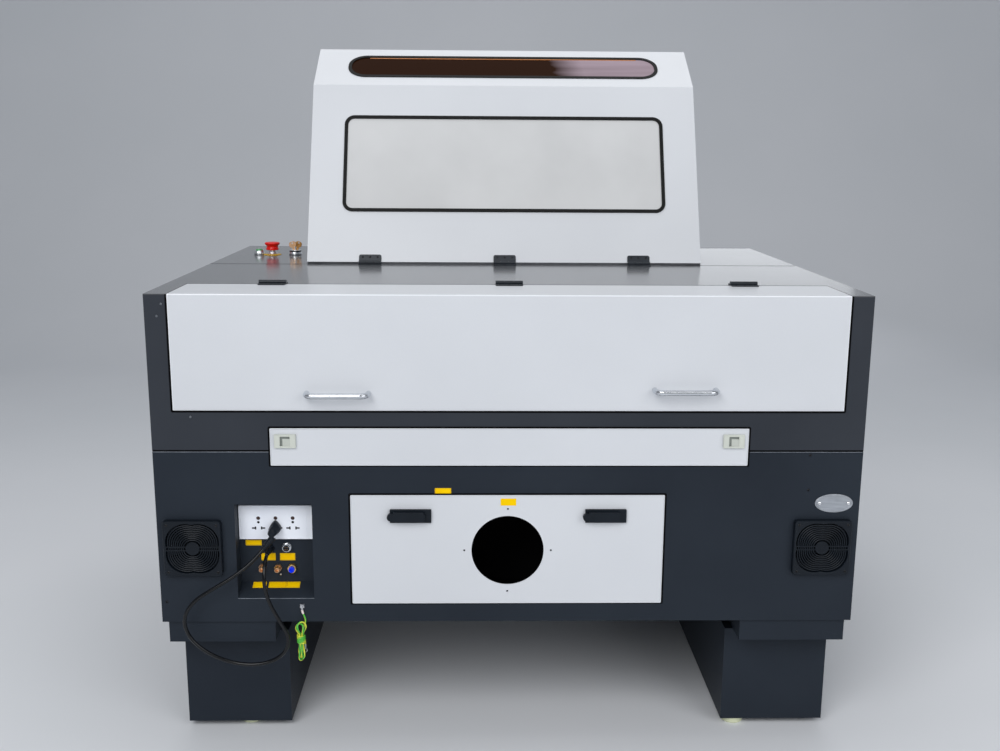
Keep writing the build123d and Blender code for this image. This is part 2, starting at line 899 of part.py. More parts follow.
# ---------------------------------------------------------------- connectors
def connector_recess():
    outline = [(0, recess_bottom), (recess_depth + recess_wall, recess_fold - recess_wall),
               (recess_depth + recess_wall, recess_top), (0, recess_top)]
    pan = prism(outline, recess_left, recess_right)
    fall = (recess_fold - recess_bottom) / recess_depth
    mouth = 1.0
    hollow = [(-mouth, recess_bottom + recess_wall - mouth * fall),
              (recess_depth, recess_fold + recess_wall),
              (recess_depth, recess_top - recess_wall), (-mouth, recess_top - recess_wall)]
    return pan - prism(hollow, recess_left + recess_wall, recess_right - recess_wall)


def socket_plate():
    """Three universal outlets: a large and a small earth hole over two T-shaped slots."""
    front = recess_depth - socket_thickness
    plate = block(socket_left, socket_right, front, recess_depth, socket_low, socket_high)
    middle = (socket_low + socket_high) / 2
    depth = socket_thickness / 2
    for step in (-1, 0, 1):
        x = socket_middle + step * socket_pitch
        plate -= rod((x, front, middle + outlet_hole_rise), (0, 1, 0), outlet_hole_radius,
                     depth)
        plate -= rod((x, front, middle), (0, 1, 0), outlet_pin_radius, depth)
        slot_z = middle - outlet_slot_drop
        for side in (-1, 1):
            inner = x + side * outlet_slot_inner
            for end, height in ((x + side * outlet_slot_outer, outlet_slot_width),
                                (inner + side * outlet_cross_width, outlet_cross_length)):
                plate -= block(min(inner, end), max(inner, end), front, front + depth,
                               slot_z - height / 2, slot_z + height / 2)
    return plate


def cord_gland():
    nut = rod((gland_x, recess_depth, gland_z), (0, -1, 0), gland_radius, gland_length)
    return fillet(nut.edges().filter_by(GeomType.CIRCLE).sort_by(Axis.Y)[0:1], 2)


def bulkhead_fittings():
    signal = rod((signal_x, recess_depth, signal_z), (0, -1, 0), signal_radius,
                 signal_length)
    pieces = [signal]
    for x, z, radius in pipe_places:
        nut = Plane(origin=(x, recess_depth, z), z_dir=(0, -1, 0)) * extrude(
            RegularPolygon(radius + pipe_nut_extra, 6), pipe_nut_length)
        stem = rod((x, recess_depth - pipe_nut_length, z), (0, -1, 0), radius,
                   pipe_length - pipe_nut_length)
        bore = rod((x, recess_depth - pipe_length - 1, z), (0, 1, 0), radius - 3,
                   pipe_length - pipe_nut_length)
        pieces.append(nut + stem - bore)
    return group(*pieces)


def earth_terminal():
    """Stud, nut and ring lug with a crimp that points down."""
    lug = block(earth_x - lug_width / 2, earth_x + lug_width / 2, -lug_thickness, 0,
                earth_z - lug_width / 2, earth_z + lug_width / 2)
    nut = Plane(origin=(earth_x, -lug_thickness, earth_z), z_dir=(0, -1, 0)) * extrude(
        RegularPolygon(earth_radius + 2, 6), earth_radius)
    stud = rod((earth_x, -lug_thickness - earth_radius, earth_z), (0, -1, 0),
               earth_radius - 1, earth_radius)
    crimp = rod((earth_x, -earth_wire_diameter, earth_z - lug_width / 2 + 1), (0, 0, -1),
                earth_wire_diameter / 2 + 1, lug_width / 2)
    neck = block(earth_x - 2, earth_x + 2, -earth_wire_diameter, 0,
                 crimp_end, earth_z - lug_width / 2)
    return lug + nut + stud + crimp + neck


# ---------------------------------------------------------------- fans
def fan_guards():
    guards = []
    for x in fan_places:
        half = fan_size / 2
        frame = block(x - half, x + half, -guard_thickness, 0,
                      fan_height - half, fan_height + half)
        frame = fillet(frame.edges().filter_by(Axis.Y), half / 10)
        frame -= rod((x, -2 * guard_thickness, fan_height), (0, 1, 0), fan_hole_radius,
                     3 * guard_thickness)
        grille = rod((x, -guard_thickness, fan_height), (0, 1, 0), guard_hub_radius,
                     guard_thickness / 2)
        pitch = (fan_hole_radius - guard_hub_radius) / guard_rings
        for ring in range(1, guard_rings):
            outer = guard_hub_radius + ring * pitch
            hoop = rod((x, -guard_thickness, fan_height), (0, 1, 0), outer,
                       guard_thickness / 2)
            grille += hoop - rod((x, -guard_thickness, fan_height), (0, 1, 0),
                                 outer - guard_ring_width, guard_thickness / 2)
        for offset in (-rib_offset, rib_offset):
            z = fan_height + offset
            grille += block(x - fan_hole_radius - 1, x + fan_hole_radius + 1,
                            -guard_thickness, -guard_thickness / 2,
                            z - rib_height / 2, z + rib_height / 2)
        guards.append(frame + grille)
    return group(*guards)


def fan_housings():
    """Fan frames behind the panel, with the motor plate and bearing at the back."""
    housings = []
    for x in fan_places:
        half = fan_size / 2 - 1.5
        far = sheet + fan_housing_depth
        housing = block(x - half, x + half, sheet, far, fan_height - half, fan_height + half)
        housing -= rod((x, 0, fan_height), (0, 1, 0), fan_bore_radius, 2 * far)
        housing += rod((x, far - stator_depth, fan_height), (0, 1, 0), stator_radius,
                       stator_depth)
        for sx, sz in ((fan_size / 2 - 3, rib_height), (rib_height, fan_size / 2 - 3)):
            housing += block(x - sx, x + sx, far - stator_depth / 2, far,
                             fan_height - sz, fan_height + sz)
        housing -= rod((x, 0, fan_height), (0, 1, 0), rotor_shaft_radius + shaft_play,
                       2 * far)
        housings.append(housing)
    return group(*housings)


def fan_rotor(x):
    far = sheet + fan_housing_depth - stator_depth - edge_gap
    near = far - rotor_depth
    middle = (near + far) / 2
    rotor = rod((x, near, fan_height), (0, 1, 0), rotor_hub_radius, rotor_depth)
    blade_half = rotor_depth / 2 - edge_gap
    for blade in range(rotor_blades):
        arm = Pos((rotor_hub_radius + rotor_radius) / 2 - 1, 0, 0) * Rot(35, 0, 0) * Box(
            rotor_radius - rotor_hub_radius, 2 * blade_half, 1.6)
        turned = Rot(0, blade * 360 / rotor_blades, 0) * arm
        rotor += Pos(x, middle, fan_height) * turned
    return rotor + rod((x, far, fan_height), (0, 1, 0), rotor_shaft_radius,
                       edge_gap + stator_depth / 2)


# ---------------------------------------------------------------- controls
def control_bezels():
    collar = rod((estop_x, control_depth, body_top), (0, 0, 1), estop_collar_radius,
                 estop_collar_height)
    collar -= rod((estop_x, control_depth, body_top + estop_collar_height - button_depth),
                  (0, 0, 1), estop_stem_radius + button_play, button_depth)
    bezel = rod((start_x, control_depth, body_top), (0, 0, 1), start_bezel_radius,
                start_bezel_height)
    bezel -= rod((start_x, control_depth, body_top + start_bezel_height - button_depth),
                 (0, 0, 1), start_cap_radius + button_play, button_depth)
    barrel = rod((key_x, control_depth, body_top), (0, 0, 1), key_barrel_radius,
                 key_barrel_height)
    barrel -= rod((key_x, control_depth, body_top + key_barrel_height - button_depth),
                  (0, 0, 1), key_shank_radius + button_play, button_depth)
    return group(collar, bezel, barrel)


def estop_button():
    low = body_top + estop_collar_height - button_depth / 2 + edge_gap
    stem = rod((estop_x, control_depth, low), (0, 0, 1), estop_stem_radius,
               body_top + estop_head_low + 1 - low)
    head = rod((estop_x, control_depth, body_top + estop_head_low), (0, 0, 1), estop_radius,
               estop_head_high - estop_head_low)
    head = fillet(head.edges().filter_by(GeomType.CIRCLE).sort_by(Axis.Z)[-1:], 8)
    return stem + head


def start_button():
    low = body_top + start_bezel_height - button_depth / 2
    return rod((start_x, control_depth, low), (0, 0, 1), start_cap_radius,
               body_top + start_bezel_height + start_cap_rise - low)


def key():
    top = body_top + key_barrel_height
    shank = rod((key_x, control_depth, top - button_depth / 2), (0, 0, 1), key_shank_radius,
                button_depth / 2 + 2)
    half = key_bow_width / 2
    bow = block(key_x - half, key_x + half, control_depth - key_bow_thickness / 2,
                control_depth + key_bow_thickness / 2, top + 1, top + 1 + key_bow_height)
    bow = fillet(bow.edges().filter_by(Axis.Y), half * 0.6)
    bow -= rod((key_x, control_depth - half, top + key_bow_height - half / 2), (0, 1, 0),
               half / 4, 2 * half)
    return shank + bow


def control_panel():
    middle = Pos(keypad_x, keypad_edge + keypad_length / 2, keypad_thickness / 2)
    return front_slope * middle * Box(2 * keypad_half_width, keypad_length, keypad_thickness)


# ---------------------------------------------------------------- laser and motion
def laser_tube():
    tube = rod((tube_left + tube_end_length, tube_depth, tube_height), (1, 0, 0),
               tube_radius, tube_length - 2 * tube_end_length)
    return tube + rod((tube_left, tube_depth, tube_height), (1, 0, 0), tube_end_radius,
                      tube_length)


def tube_cradles():
    """Two saddles under the tube and the first mirror's post at its left end."""
    pieces = []
    for x in cradle_places:
        saddle = block(x, x + cradle_width, tube_depth - cradle_half_depth,
                       tube_depth + cradle_half_depth, bay_floor, tube_height)
        pieces.append(saddle - rod((x - 1, tube_depth, tube_height), (1, 0, 0),
                                   tube_radius + seat_gap, cradle_width + 2))
    half = mirror_size / 2
    pieces.append(block(mirror_x - half, mirror_x + half, tube_depth - half,
                        tube_depth + half, bay_floor, tube_height + half))
    return group(*pieces)


def y_rails():
    pieces = []
    shelf_top = rail_shelf_height + edge_gap
    for side in (-1, 1):
        wall = side * chamber_half_width
        shelf = block(wall - side * rail_shelf_width, wall, rail_start, rail_end,
                      rail_shelf_height, shelf_top)
        shelf += block(wall - side * edge_gap, wall, rail_start, rail_end,
                       rail_shelf_height - rail_wall_flange, rail_shelf_height)
        outer = wall - side * rail_inset
        rail = block(outer - side * rail_width, outer, rail_start, rail_end,
                     shelf_top, shelf_top + rail_height)
        pieces += [shelf, rail]
    return group(*pieces)


rail_top = rail_shelf_height + edge_gap + rail_height
beam_low = rail_top + seat_gap + carriage_thickness


def gantry():
    rail_middle = chamber_half_width - rail_inset - rail_width / 2
    beam_half = rail_middle - carriage_width / 2 + edge_gap
    beam = block(-beam_half, beam_half, gantry_depth - beam_depth / 2,
                 gantry_depth + beam_depth / 2, beam_low, beam_low + beam_height)
    for side in (-1, 1):
        inner = side * (rail_middle - carriage_width / 2)
        beam += block(inner, side * (rail_middle + carriage_width / 2),
                      gantry_depth - carriage_half_length,
                      gantry_depth + carriage_half_length, rail_top + seat_gap, beam_low)
    return beam


def laser_head():
    near = gantry_depth + beam_depth / 2 + seat_gap
    low = beam_low - edge_gap
    plate = block(-head_width / 2, head_width / 2, near, near + head_plate, low,
                  low + head_plate_height)
    y = near + lens_offset
    arm = block(-lens_tube_radius, lens_tube_radius, near, y, low, low + head_width / 2)
    tube_low = nozzle_height + nozzle_length
    tube = rod((0, y, tube_low), (0, 0, 1), lens_tube_radius, low + head_width - tube_low)
    nozzle = Pos(0, y, nozzle_height) * Cone(nozzle_tip_radius, lens_tube_radius,
                                             nozzle_length, align=centre)
    return plate + arm + tube + nozzle


def post_points():
    return [(side * post_x, y) for side in (-1, 1) for y in post_depths]


def bed():
    low = bed_top - bed_panel_thickness - bed_frame_height
    high = bed_top - bed_panel_thickness
    frame = block(-bed_half_width, bed_half_width, bed_near, bed_far, low, high)
    frame -= block(-bed_half_width + bed_bar, bed_half_width - bed_bar, bed_near + bed_bar,
                   bed_far - bed_bar, low - 1, high + 1)
    for x, y in post_points():
        edge = math.copysign(bed_half_width - bed_bar / 2, x)
        out = math.copysign(post_x + ear_half_width, x)
        frame += block(edge, out, y - ear_half_width, y + ear_half_width, low, high)
    for x, y in post_points():
        frame -= rod((x, y, low - 1), (0, 0, 1), post_radius + shaft_play,
                     bed_frame_height + 2)
    panel = block(-bed_half_width, bed_half_width, bed_near, bed_far, high, bed_top)
    return group(frame, panel)


def bed_guide_posts():
    floor = chamber_floor_height + sheet
    return group(*[rod((x, y, floor), (0, 0, 1), post_radius, post_length)
                   for x, y in post_points()])


def standing_box(x, near, size):
    """An electronics case that stands on the floor of the main case."""
    wide, deep, high = size
    floor = case_bottom + sheet
    case = block(x - wide / 2, x + wide / 2, near, near + deep, floor, floor + high)
    return fillet(case.edges().filter_by(Axis.Z), 4)


# ---------------------------------------------------------------- cords
relief_way = Vector(*relief_direction).normalized()
plug_front = recess_depth - socket_thickness - plug_reach
relief_start = Vector(socket_middle - 4, plug_front + plug_reach * 0.3, plug_low + 4)
relief_end = relief_start + relief_way * relief_length


def power_plug():
    body = block(socket_middle - plug_half_width, socket_middle + plug_half_width, plug_front,
                 recess_depth - socket_thickness, plug_low, plug_low + plug_height)
    body = fillet(body.edges().filter_by(Axis.Y), 5)
    relief = Plane(origin=relief_start, z_dir=relief_way) * Cone(
        relief_base_radius, relief_tip_radius, relief_length, align=centre)
    return body + relief


gland_exit = recess_depth - gland_length
cord_route = [
    (gland_x, gland_exit, gland_z), (gland_x, -3, gland_z), (gland_x, -26, 425),
    (gland_x, -39, 402), (-519, -40, 374), (-508, -39, 338), (-489, -37, 300),
    (-471, -35, 264), (-480, -33, 229), (-512, -32, 206), (-556, -31, 198),
    (-604, -31, 206), (-650, -32, 228), (-685, -33, 262), (-697, -33, 304),
    (-677, -32, 343), (-634, -30, 371), (-588, -24, 397),
    tuple(relief_end + relief_way * relief_length), tuple(relief_end),
]

earth_route = [
    (earth_x, -earth_wire_diameter, crimp_end),
    (earth_x, -earth_wire_diameter, crimp_end - earth_wire_diameter),
    (hank_x, hank_depth, hank_top + earth_wire_diameter), (hank_x, hank_depth, hank_top),
]


def corner_radii(route):
    """The largest arc for each corner: 0.45 of the shorter run over tan of half the turn."""
    radii = []
    for before, corner, after in zip(route, route[1:], route[2:]):
        run_in = Vector(*corner) - Vector(*before)
        run_out = Vector(*after) - Vector(*corner)
        turn = math.radians(run_in.get_angle(run_out))
        radii.append(0.45 * min(run_in.length, run_out.length) / math.tan(turn / 2))
    return radii


def cord_tube(name, route, diameter):
    radii = corner_radii(route)
    path = FilletPolyline(*route, radius=radii)
    start = Vector(*route[0])
    section = Plane(origin=start, z_dir=Vector(*route[1]) - start) * Circle(diameter / 2)
    tube = sweep(section, path=path)
    print(name, "length", round(path.length, 1), "radii", [round(r) for r in radii])
    print(name, "volume", round(tube.volume), "section x length",
          round(math.pi * diameter ** 2 / 4 * path.length))
    return tube


def earth_hank():
    hank = block(hank_x - hank_half_width, hank_x + hank_half_width,
                 hank_depth - hank_half_depth, hank_depth + hank_half_depth,
                 hank_top - hank_length, hank_top)
    return fillet(hank.edges().filter_by(Axis.Y), hank_half_width * 0.6)


# ---------------------------------------------------------------- every node
nodes["lower_rear_panel"] = lower_rear_panel()
nodes["upper_rear_panel"] = upper_rear_panel()
nodes["side_panels"] = side_panels()
nodes["case_floor"] = case_floor()
nodes["front_panel"] = front_panel()
nodes["rear_deck"] = rear_deck()
nodes["top_covers"] = top_covers()
nodes["inner_walls"] = group(inner_walls(), strut_brackets())
nodes["chamber_floor"] = chamber_floor()
nodes["exhaust_plenum"] = exhaust_plenum()
nodes["tube_bay"] = tube_bay()
nodes["plinths"] = plinths()
nodes["pedestals"] = pedestals()
nodes["levelling_feet"] = levelling_feet()
nodes["connector_recess"] = connector_recess()
nodes["socket_plate"] = socket_plate()
nodes["bulkhead_fittings"] = bulkhead_fittings()
nodes["cord_gland"] = cord_gland()
nodes["earth_terminal"] = earth_terminal()
nodes["fan_guards"] = fan_guards()
nodes["fan_housings"] = fan_housings()
nodes["hinge_leaves"] = hinge_leaves()
nodes["rear_door"] = rear_door()
nodes["door_handles"] = door_handles()
nodes["door_hinge_leaves"] = door_hinge_leaves()
nodes["lid_shell"] = lid_shell()
nodes["lid_windows"] = lid_windows()
nodes["lid_seals"] = lid_seals()
nodes["lid_hinge_leaves"] = lid_hinge_leaves()
nodes["pass_flap"] = pass_flap()
nodes["service_door"] = service_door()
nodes["lever_bases"] = lever_bases()
nodes["control_bezels"] = control_bezels()
nodes["estop_button"] = estop_button()
nodes["start_button"] = start_button()
nodes["key"] = key()
nodes["control_panel"] = control_panel()
nodes["laser_tube"] = laser_tube()
nodes["tube_cradles"] = tube_cradles()
nodes["y_rails"] = y_rails()
nodes["gantry"] = gantry()
nodes["laser_head"] = laser_head()
nodes["bed"] = bed()
nodes["bed_guide_posts"] = bed_guide_posts()
nodes["laser_power_supply"] = standing_box(supply_x, supply_near, supply_size)
nodes["motion_controller"] = standing_box(controller_x, controller_near, controller_size)
for name, side in (("left", -1), ("right", 1)):
    place = 0 if side < 0 else 1
    nodes[name + "_fan_rotor"] = fan_rotor(fan_places[place])
    nodes[name + "_strut_cylinder"] = strut_cylinder(side)
    nodes[name + "_strut_rod"] = strut_rod(side)
    nodes[name + "_flap_latch"] = flap_latch(side)
    nodes[name + "_door_lever"] = door_lever(lever_places[place])
nodes["power_cord"] = cord_tube("power_cord", cord_route, cord_diameter)
nodes["power_plug"] = power_plug()
nodes["earth_wire"] = cord_tube("earth_wire", earth_route, earth_wire_diameter)
nodes["earth_hank"] = earth_hank()

os.makedirs("parts", exist_ok=True)
for name, shape in nodes.items():
    export_step(Pos(0, rear_y, 0) * shape, f"parts/{name}.step")
print(len(nodes), "nodes, rear face at y", rear_y)
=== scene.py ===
import json
import math

import bpy
import numpy as np
from mathutils import Matrix, Vector


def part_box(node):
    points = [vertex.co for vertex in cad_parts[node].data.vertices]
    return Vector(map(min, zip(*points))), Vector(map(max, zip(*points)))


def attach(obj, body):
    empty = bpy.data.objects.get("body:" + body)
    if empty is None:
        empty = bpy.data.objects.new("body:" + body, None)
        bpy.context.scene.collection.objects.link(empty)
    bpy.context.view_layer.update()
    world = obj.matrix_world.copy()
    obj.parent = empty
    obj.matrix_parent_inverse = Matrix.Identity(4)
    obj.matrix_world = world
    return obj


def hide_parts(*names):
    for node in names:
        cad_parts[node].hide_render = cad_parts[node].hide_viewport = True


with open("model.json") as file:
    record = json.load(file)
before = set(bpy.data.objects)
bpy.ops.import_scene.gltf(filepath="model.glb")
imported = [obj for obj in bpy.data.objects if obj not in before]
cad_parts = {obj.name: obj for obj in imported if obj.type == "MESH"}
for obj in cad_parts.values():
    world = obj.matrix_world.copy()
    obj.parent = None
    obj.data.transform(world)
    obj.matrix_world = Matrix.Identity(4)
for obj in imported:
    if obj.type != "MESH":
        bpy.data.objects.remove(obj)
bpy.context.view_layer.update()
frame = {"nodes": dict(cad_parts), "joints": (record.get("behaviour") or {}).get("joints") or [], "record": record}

# ---------------------------------------------------------------- directions and places
# Pieces are worked out in millimetres, and made in metres. x runs to the right of the rear
# face, y into the case and z up.
METRE = 1000.0
X = np.array([1.0, 0.0, 0.0])
Z = np.array([0.0, 0.0, 1.0])
BACK = np.array([0.0, -1.0, 0.0])


def corners(node):
    """Lowest and highest corner of a solid at rest, to a tenth of a millimetre."""
    return [np.round(np.array(corner) * METRE, 1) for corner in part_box(node)]


def middle_of(node):
    """The middle of a solid's box at rest."""
    return sum(corners(node)) / 2


REAR_FACE = corners("lower_rear_panel")[0][1]
TOP_FACE = corners("rear_deck")[1][2]


def rear(x, z, out=0.0):
    """A point on the rear face of the case, or in front of it by a distance."""
    return np.array([x, REAR_FACE - out, z])


def on_top(x, depth, rise=0.0):
    """A point on the top of the case at a depth from the rear face, or above it."""
    return np.array([x, REAR_FACE + depth, TOP_FACE + rise])


def outer_middle(node):
    """The middle of a solid's outer face, seen from the rear."""
    x, _, z = middle_of(node)
    return np.array([x, corners(node)[0][1], z])


def on_deck(node):
    """The point of the top that lies under the middle of a solid."""
    return np.array([*middle_of(node)[:2], TOP_FACE])


def uphill(tilt):
    """The direction that climbs from the rear face to the front at an angle."""
    return np.array([0.0, math.cos(tilt), math.sin(tilt)])


# The lid climbs at its tilt for its length, and above the bend at the tilt less the bend.
LID_TILT, LID_BEND = math.radians(65.7), math.radians(32.3)
LID_UP = uphill(LID_TILT)
LID_OUT = np.cross(X, LID_UP)
LID_JOINT = next(joint for joint in frame["joints"] if joint["name"] == "lid_hinge")
LID_HINGE = np.array(LID_JOINT["pos_m"]) * METRE
LID_SKIN, LID_LENGTH = 4.7, 495
LID_HINGES, DOOR_HINGES = (-344, 0, 344), (-517, 0, 517)

# Fittings on the top and on the rear face. What lies behind that face is negative.
STOP, START, LOCK = on_deck("estop_button"), on_deck("start_button"), on_deck("key")
GUARD_REACH = 61.5
FANS = [corner[0] + side * GUARD_REACH
        for corner, side in zip(corners("fan_guards"), (1, -1))]
FAN_HEIGHT = middle_of("fan_guards")[2]
BADGE, BADGE_HEIGHT = 694.5, 553.6
RECESS = REAR_FACE - corners("bulkhead_fittings")[1][1]
RECESS_LIP = corners("connector_recess")[0][2]
RECESS_FALL = math.atan2(21.0, 40.0)
OUTLET_FACE = REAR_FACE - corners("socket_plate")[0][1]
MIDDLE_OUTLET, OUTLET_PITCH = -504.5, 37
HOLE_PIECE_SEAT = OUTLET_FACE - 3.6
DOOR_FACE = REAR_FACE - corners("service_door")[0][1]
SEAM_HEIGHT = corners("lower_rear_panel")[1][2] - 0.4
EARTH_X = middle_of("earth_terminal")[0]
HANK_X, HANK_OUT = -450, 11.5
FOLD, WAIST = 11.1, 4.3


# ---------------------------------------------------------------- finishes
def rgb(red, green, blue):
    """A screen colour of 0 to 255 as a linear colour with alpha."""
    share = np.array([red, green, blue]) / 255
    linear = np.where(share <= 0.04045, share / 12.92, ((share + 0.055) / 1.055) ** 2.4)
    return (*linear.tolist(), 1.0)


class Wire:
    """One output of a node tree. Arithmetic on it adds Math nodes."""

    def __init__(self, tree, socket):
        self.tree, self.socket = tree, socket

    def node(self, kind, settings=None, output=0, **inputs):
        """Any other node: its type, settings first, then its inputs by name or _index."""
        made = self.tree.nodes.new("ShaderNode" + kind)
        for key, value in (settings or {}).items():
            setattr(made, key, value)
        for key, value in inputs.items():
            socket = made.inputs[int(key[1:]) if key[0] == "_" else key.replace("_", " ")]
            if isinstance(value, Wire):
                self.tree.links.new(value.socket, socket)
            else:
                socket.default_value = value
        return Wire(self.tree, made.outputs[output])

    def ramp(self, *stops):
        """A colour ramp through (place, colour) stops."""
        made = self.node("ValToRGB", Fac=self)
        elements = made.socket.node.color_ramp.elements
        for element, (place, colour) in zip(elements, stops):
            element.position, element.color = place, rgb(*colour)
        return made

    def math(self, operation, a, b=0.0):
        """A Math node on two wires or numbers."""
        return self.node("Math", {"operation": operation}, _0=a, _1=b)

    def __add__(self, other):
        return self.math("ADD", self, other)

    def __sub__(self, other):
        return self.math("SUBTRACT", self, other)

    def __mul__(self, other):
        return self.math("MULTIPLY", self, other)

    def __radd__(self, other):
        return self.math("ADD", other, self)

    def __rsub__(self, other):
        return self.math("SUBTRACT", other, self)

    def __rmul__(self, other):
        return self.math("MULTIPLY", other, self)

    def __gt__(self, other):
        return self.math("GREATER_THAN", self, other)

    def mix(self, a, b):
        """Colour a where this is 0, and b where it is 1."""
        return self.node("Mix", {"data_type": "RGBA"}, 2, _0=self, _6=a, _7=b)


def blank(name):
    """A new material with its shader and a wire that carries the object's own coordinates."""
    material = bpy.data.materials.new(name)
    material.use_nodes = True
    tree = material.node_tree
    start = Wire(tree, tree.nodes.new("ShaderNodeTexCoord").outputs["Object"])
    return material, tree.nodes["Principled BSDF"], start


def set_up(start, shader, links, values=None):
    """Links wires to the shader's sockets and sets constants on its other sockets."""
    for name, wire in links.items():
        start.tree.links.new(wire.socket, shader.inputs[name])
    for name, value in (values or {}).items():
        shader.inputs[name].default_value = value


def noise(start, scale, detail=3.0, rough=0.5, stretch=None):
    """Soft noise between 0 and 1, with cells of about 1/scale metres."""
    place = start.node("Mapping", Vector=start, Scale=stretch) if stretch else start
    return start.node("TexNoise", Vector=place, Scale=scale, Detail=detail, Roughness=rough)


def paint(name, low, high, roughness, grain=900.0, depth=0.12, coat=0.0, patch=3.0,
          spread=0.08, metallic=0.0, shine=0.5):
    """Sprayed or moulded surface: two shades in slow patches, fine grain, uneven gloss."""
    material, shader, start = blank(name)
    slow = noise(start, patch, 4.0, 0.55)
    fine = noise(start, grain, 2.0, 0.6)
    tone = (slow * 0.75 + fine * 0.25).ramp((0.3, low), (0.7, high))
    bump = start.node("Bump", Height=fine, Strength=depth, Distance=0.0006)
    rough = (slow - 0.5) * spread + (fine - 0.5) * spread + roughness
    set_up(start, shader, {"Base Color": tone, "Roughness": rough, "Normal": bump},
           {"Coat Weight": coat, "Coat Roughness": 0.12, "Metallic": metallic,
            "Specular IOR Level": shine})
    return material


def brushed(name, low, high, roughness, stretch, metallic=1.0, grain=260.0):
    """Metal with fine lines in one direction and a few stains."""
    material, shader, start = blank(name)
    lines = noise(start, grain, 3.0, 0.6, stretch)
    stain = noise(start, 14.0, 4.0, 0.6)
    tone = (lines * 0.6 + stain * 0.4).ramp((0.25, low), (0.75, high))
    bump = start.node("Bump", Height=lines, Strength=0.12, Distance=0.0004)
    rough = lines * 0.14 + stain * 0.1 + (roughness - 0.1)
    set_up(start, shader, {"Base Color": tone, "Roughness": rough, "Normal": bump},
           {"Metallic": metallic})
    return material


def tinted_panes():
    """Acrylic panes: a pale grey on the large window that stands in for the bright backdrop seen through it
    (painted light), and dark brown above the lid's bend.

    The right part of the brown pane is a painted reflection: it is lighter there, as if it mirrored a bright wall."""
    bend_height, reflection_from, reflection_to = 1.44, 0.17, 0.28
    material, shader, start = blank("tinted_acrylic_painted_light")
    across = start.node("SeparateXYZ", output=0, Vector=start)
    upper = start.node("SeparateXYZ", output=2, Vector=start) > bend_height
    haze = noise(start, 5.0)
    streak = noise(start, 8.0, 2.0, stretch=(0.3, 1, 6))
    # painted light: the pale grey of the large pane stands in for the bright backdrop seen through it
    pale = haze.ramp((0.3, (206, 207, 208)), (0.7, (215, 216, 217)))
    # painted reflection: across its right part the brown pane lightens towards the ramp's light end, as if it
    # mirrored a bright wall; the streak noise also moves it towards that end
    wall = start.node("MapRange", Value=across + haze * 0.1, _1=reflection_from, _2=reflection_to)
    dark = (streak * 0.4 + wall * 0.6).ramp((0.3, (39, 17, 3)), (0.9, (167, 150, 160)))
    set_up(start, shader,
           {"Base Color": upper.mix(pale, dark), "Roughness": haze * 0.06 + 0.22,
            "Alpha": upper * 0.05 + 0.95}, {"IOR": 1.49, "Specular IOR Level": 0.01})
    return material


def striped_sheath():
    """Green sheath with a yellow stripe that winds slowly round the wire."""
    material, shader, start = blank("earth_sheath_striped")
    surface = Wire(start.tree, start.socket.node.outputs["UV"])
    along = start.node("SeparateXYZ", output=0, Vector=surface)
    around = start.node("SeparateXYZ", output=1, Vector=surface)
    wave = start.math("SINE", along * 100.0 + around * (2 * math.pi))
    fleck = noise(start, 300.0, 2.0)
    stripe = (wave + (fleck - 0.5) * 0.3) > -0.05
    tone = stripe.mix(rgb(84, 190, 66), rgb(214, 222, 70))
    set_up(start, shader, {"Base Color": tone, "Roughness": fleck * 0.1 + 0.34})
    return material


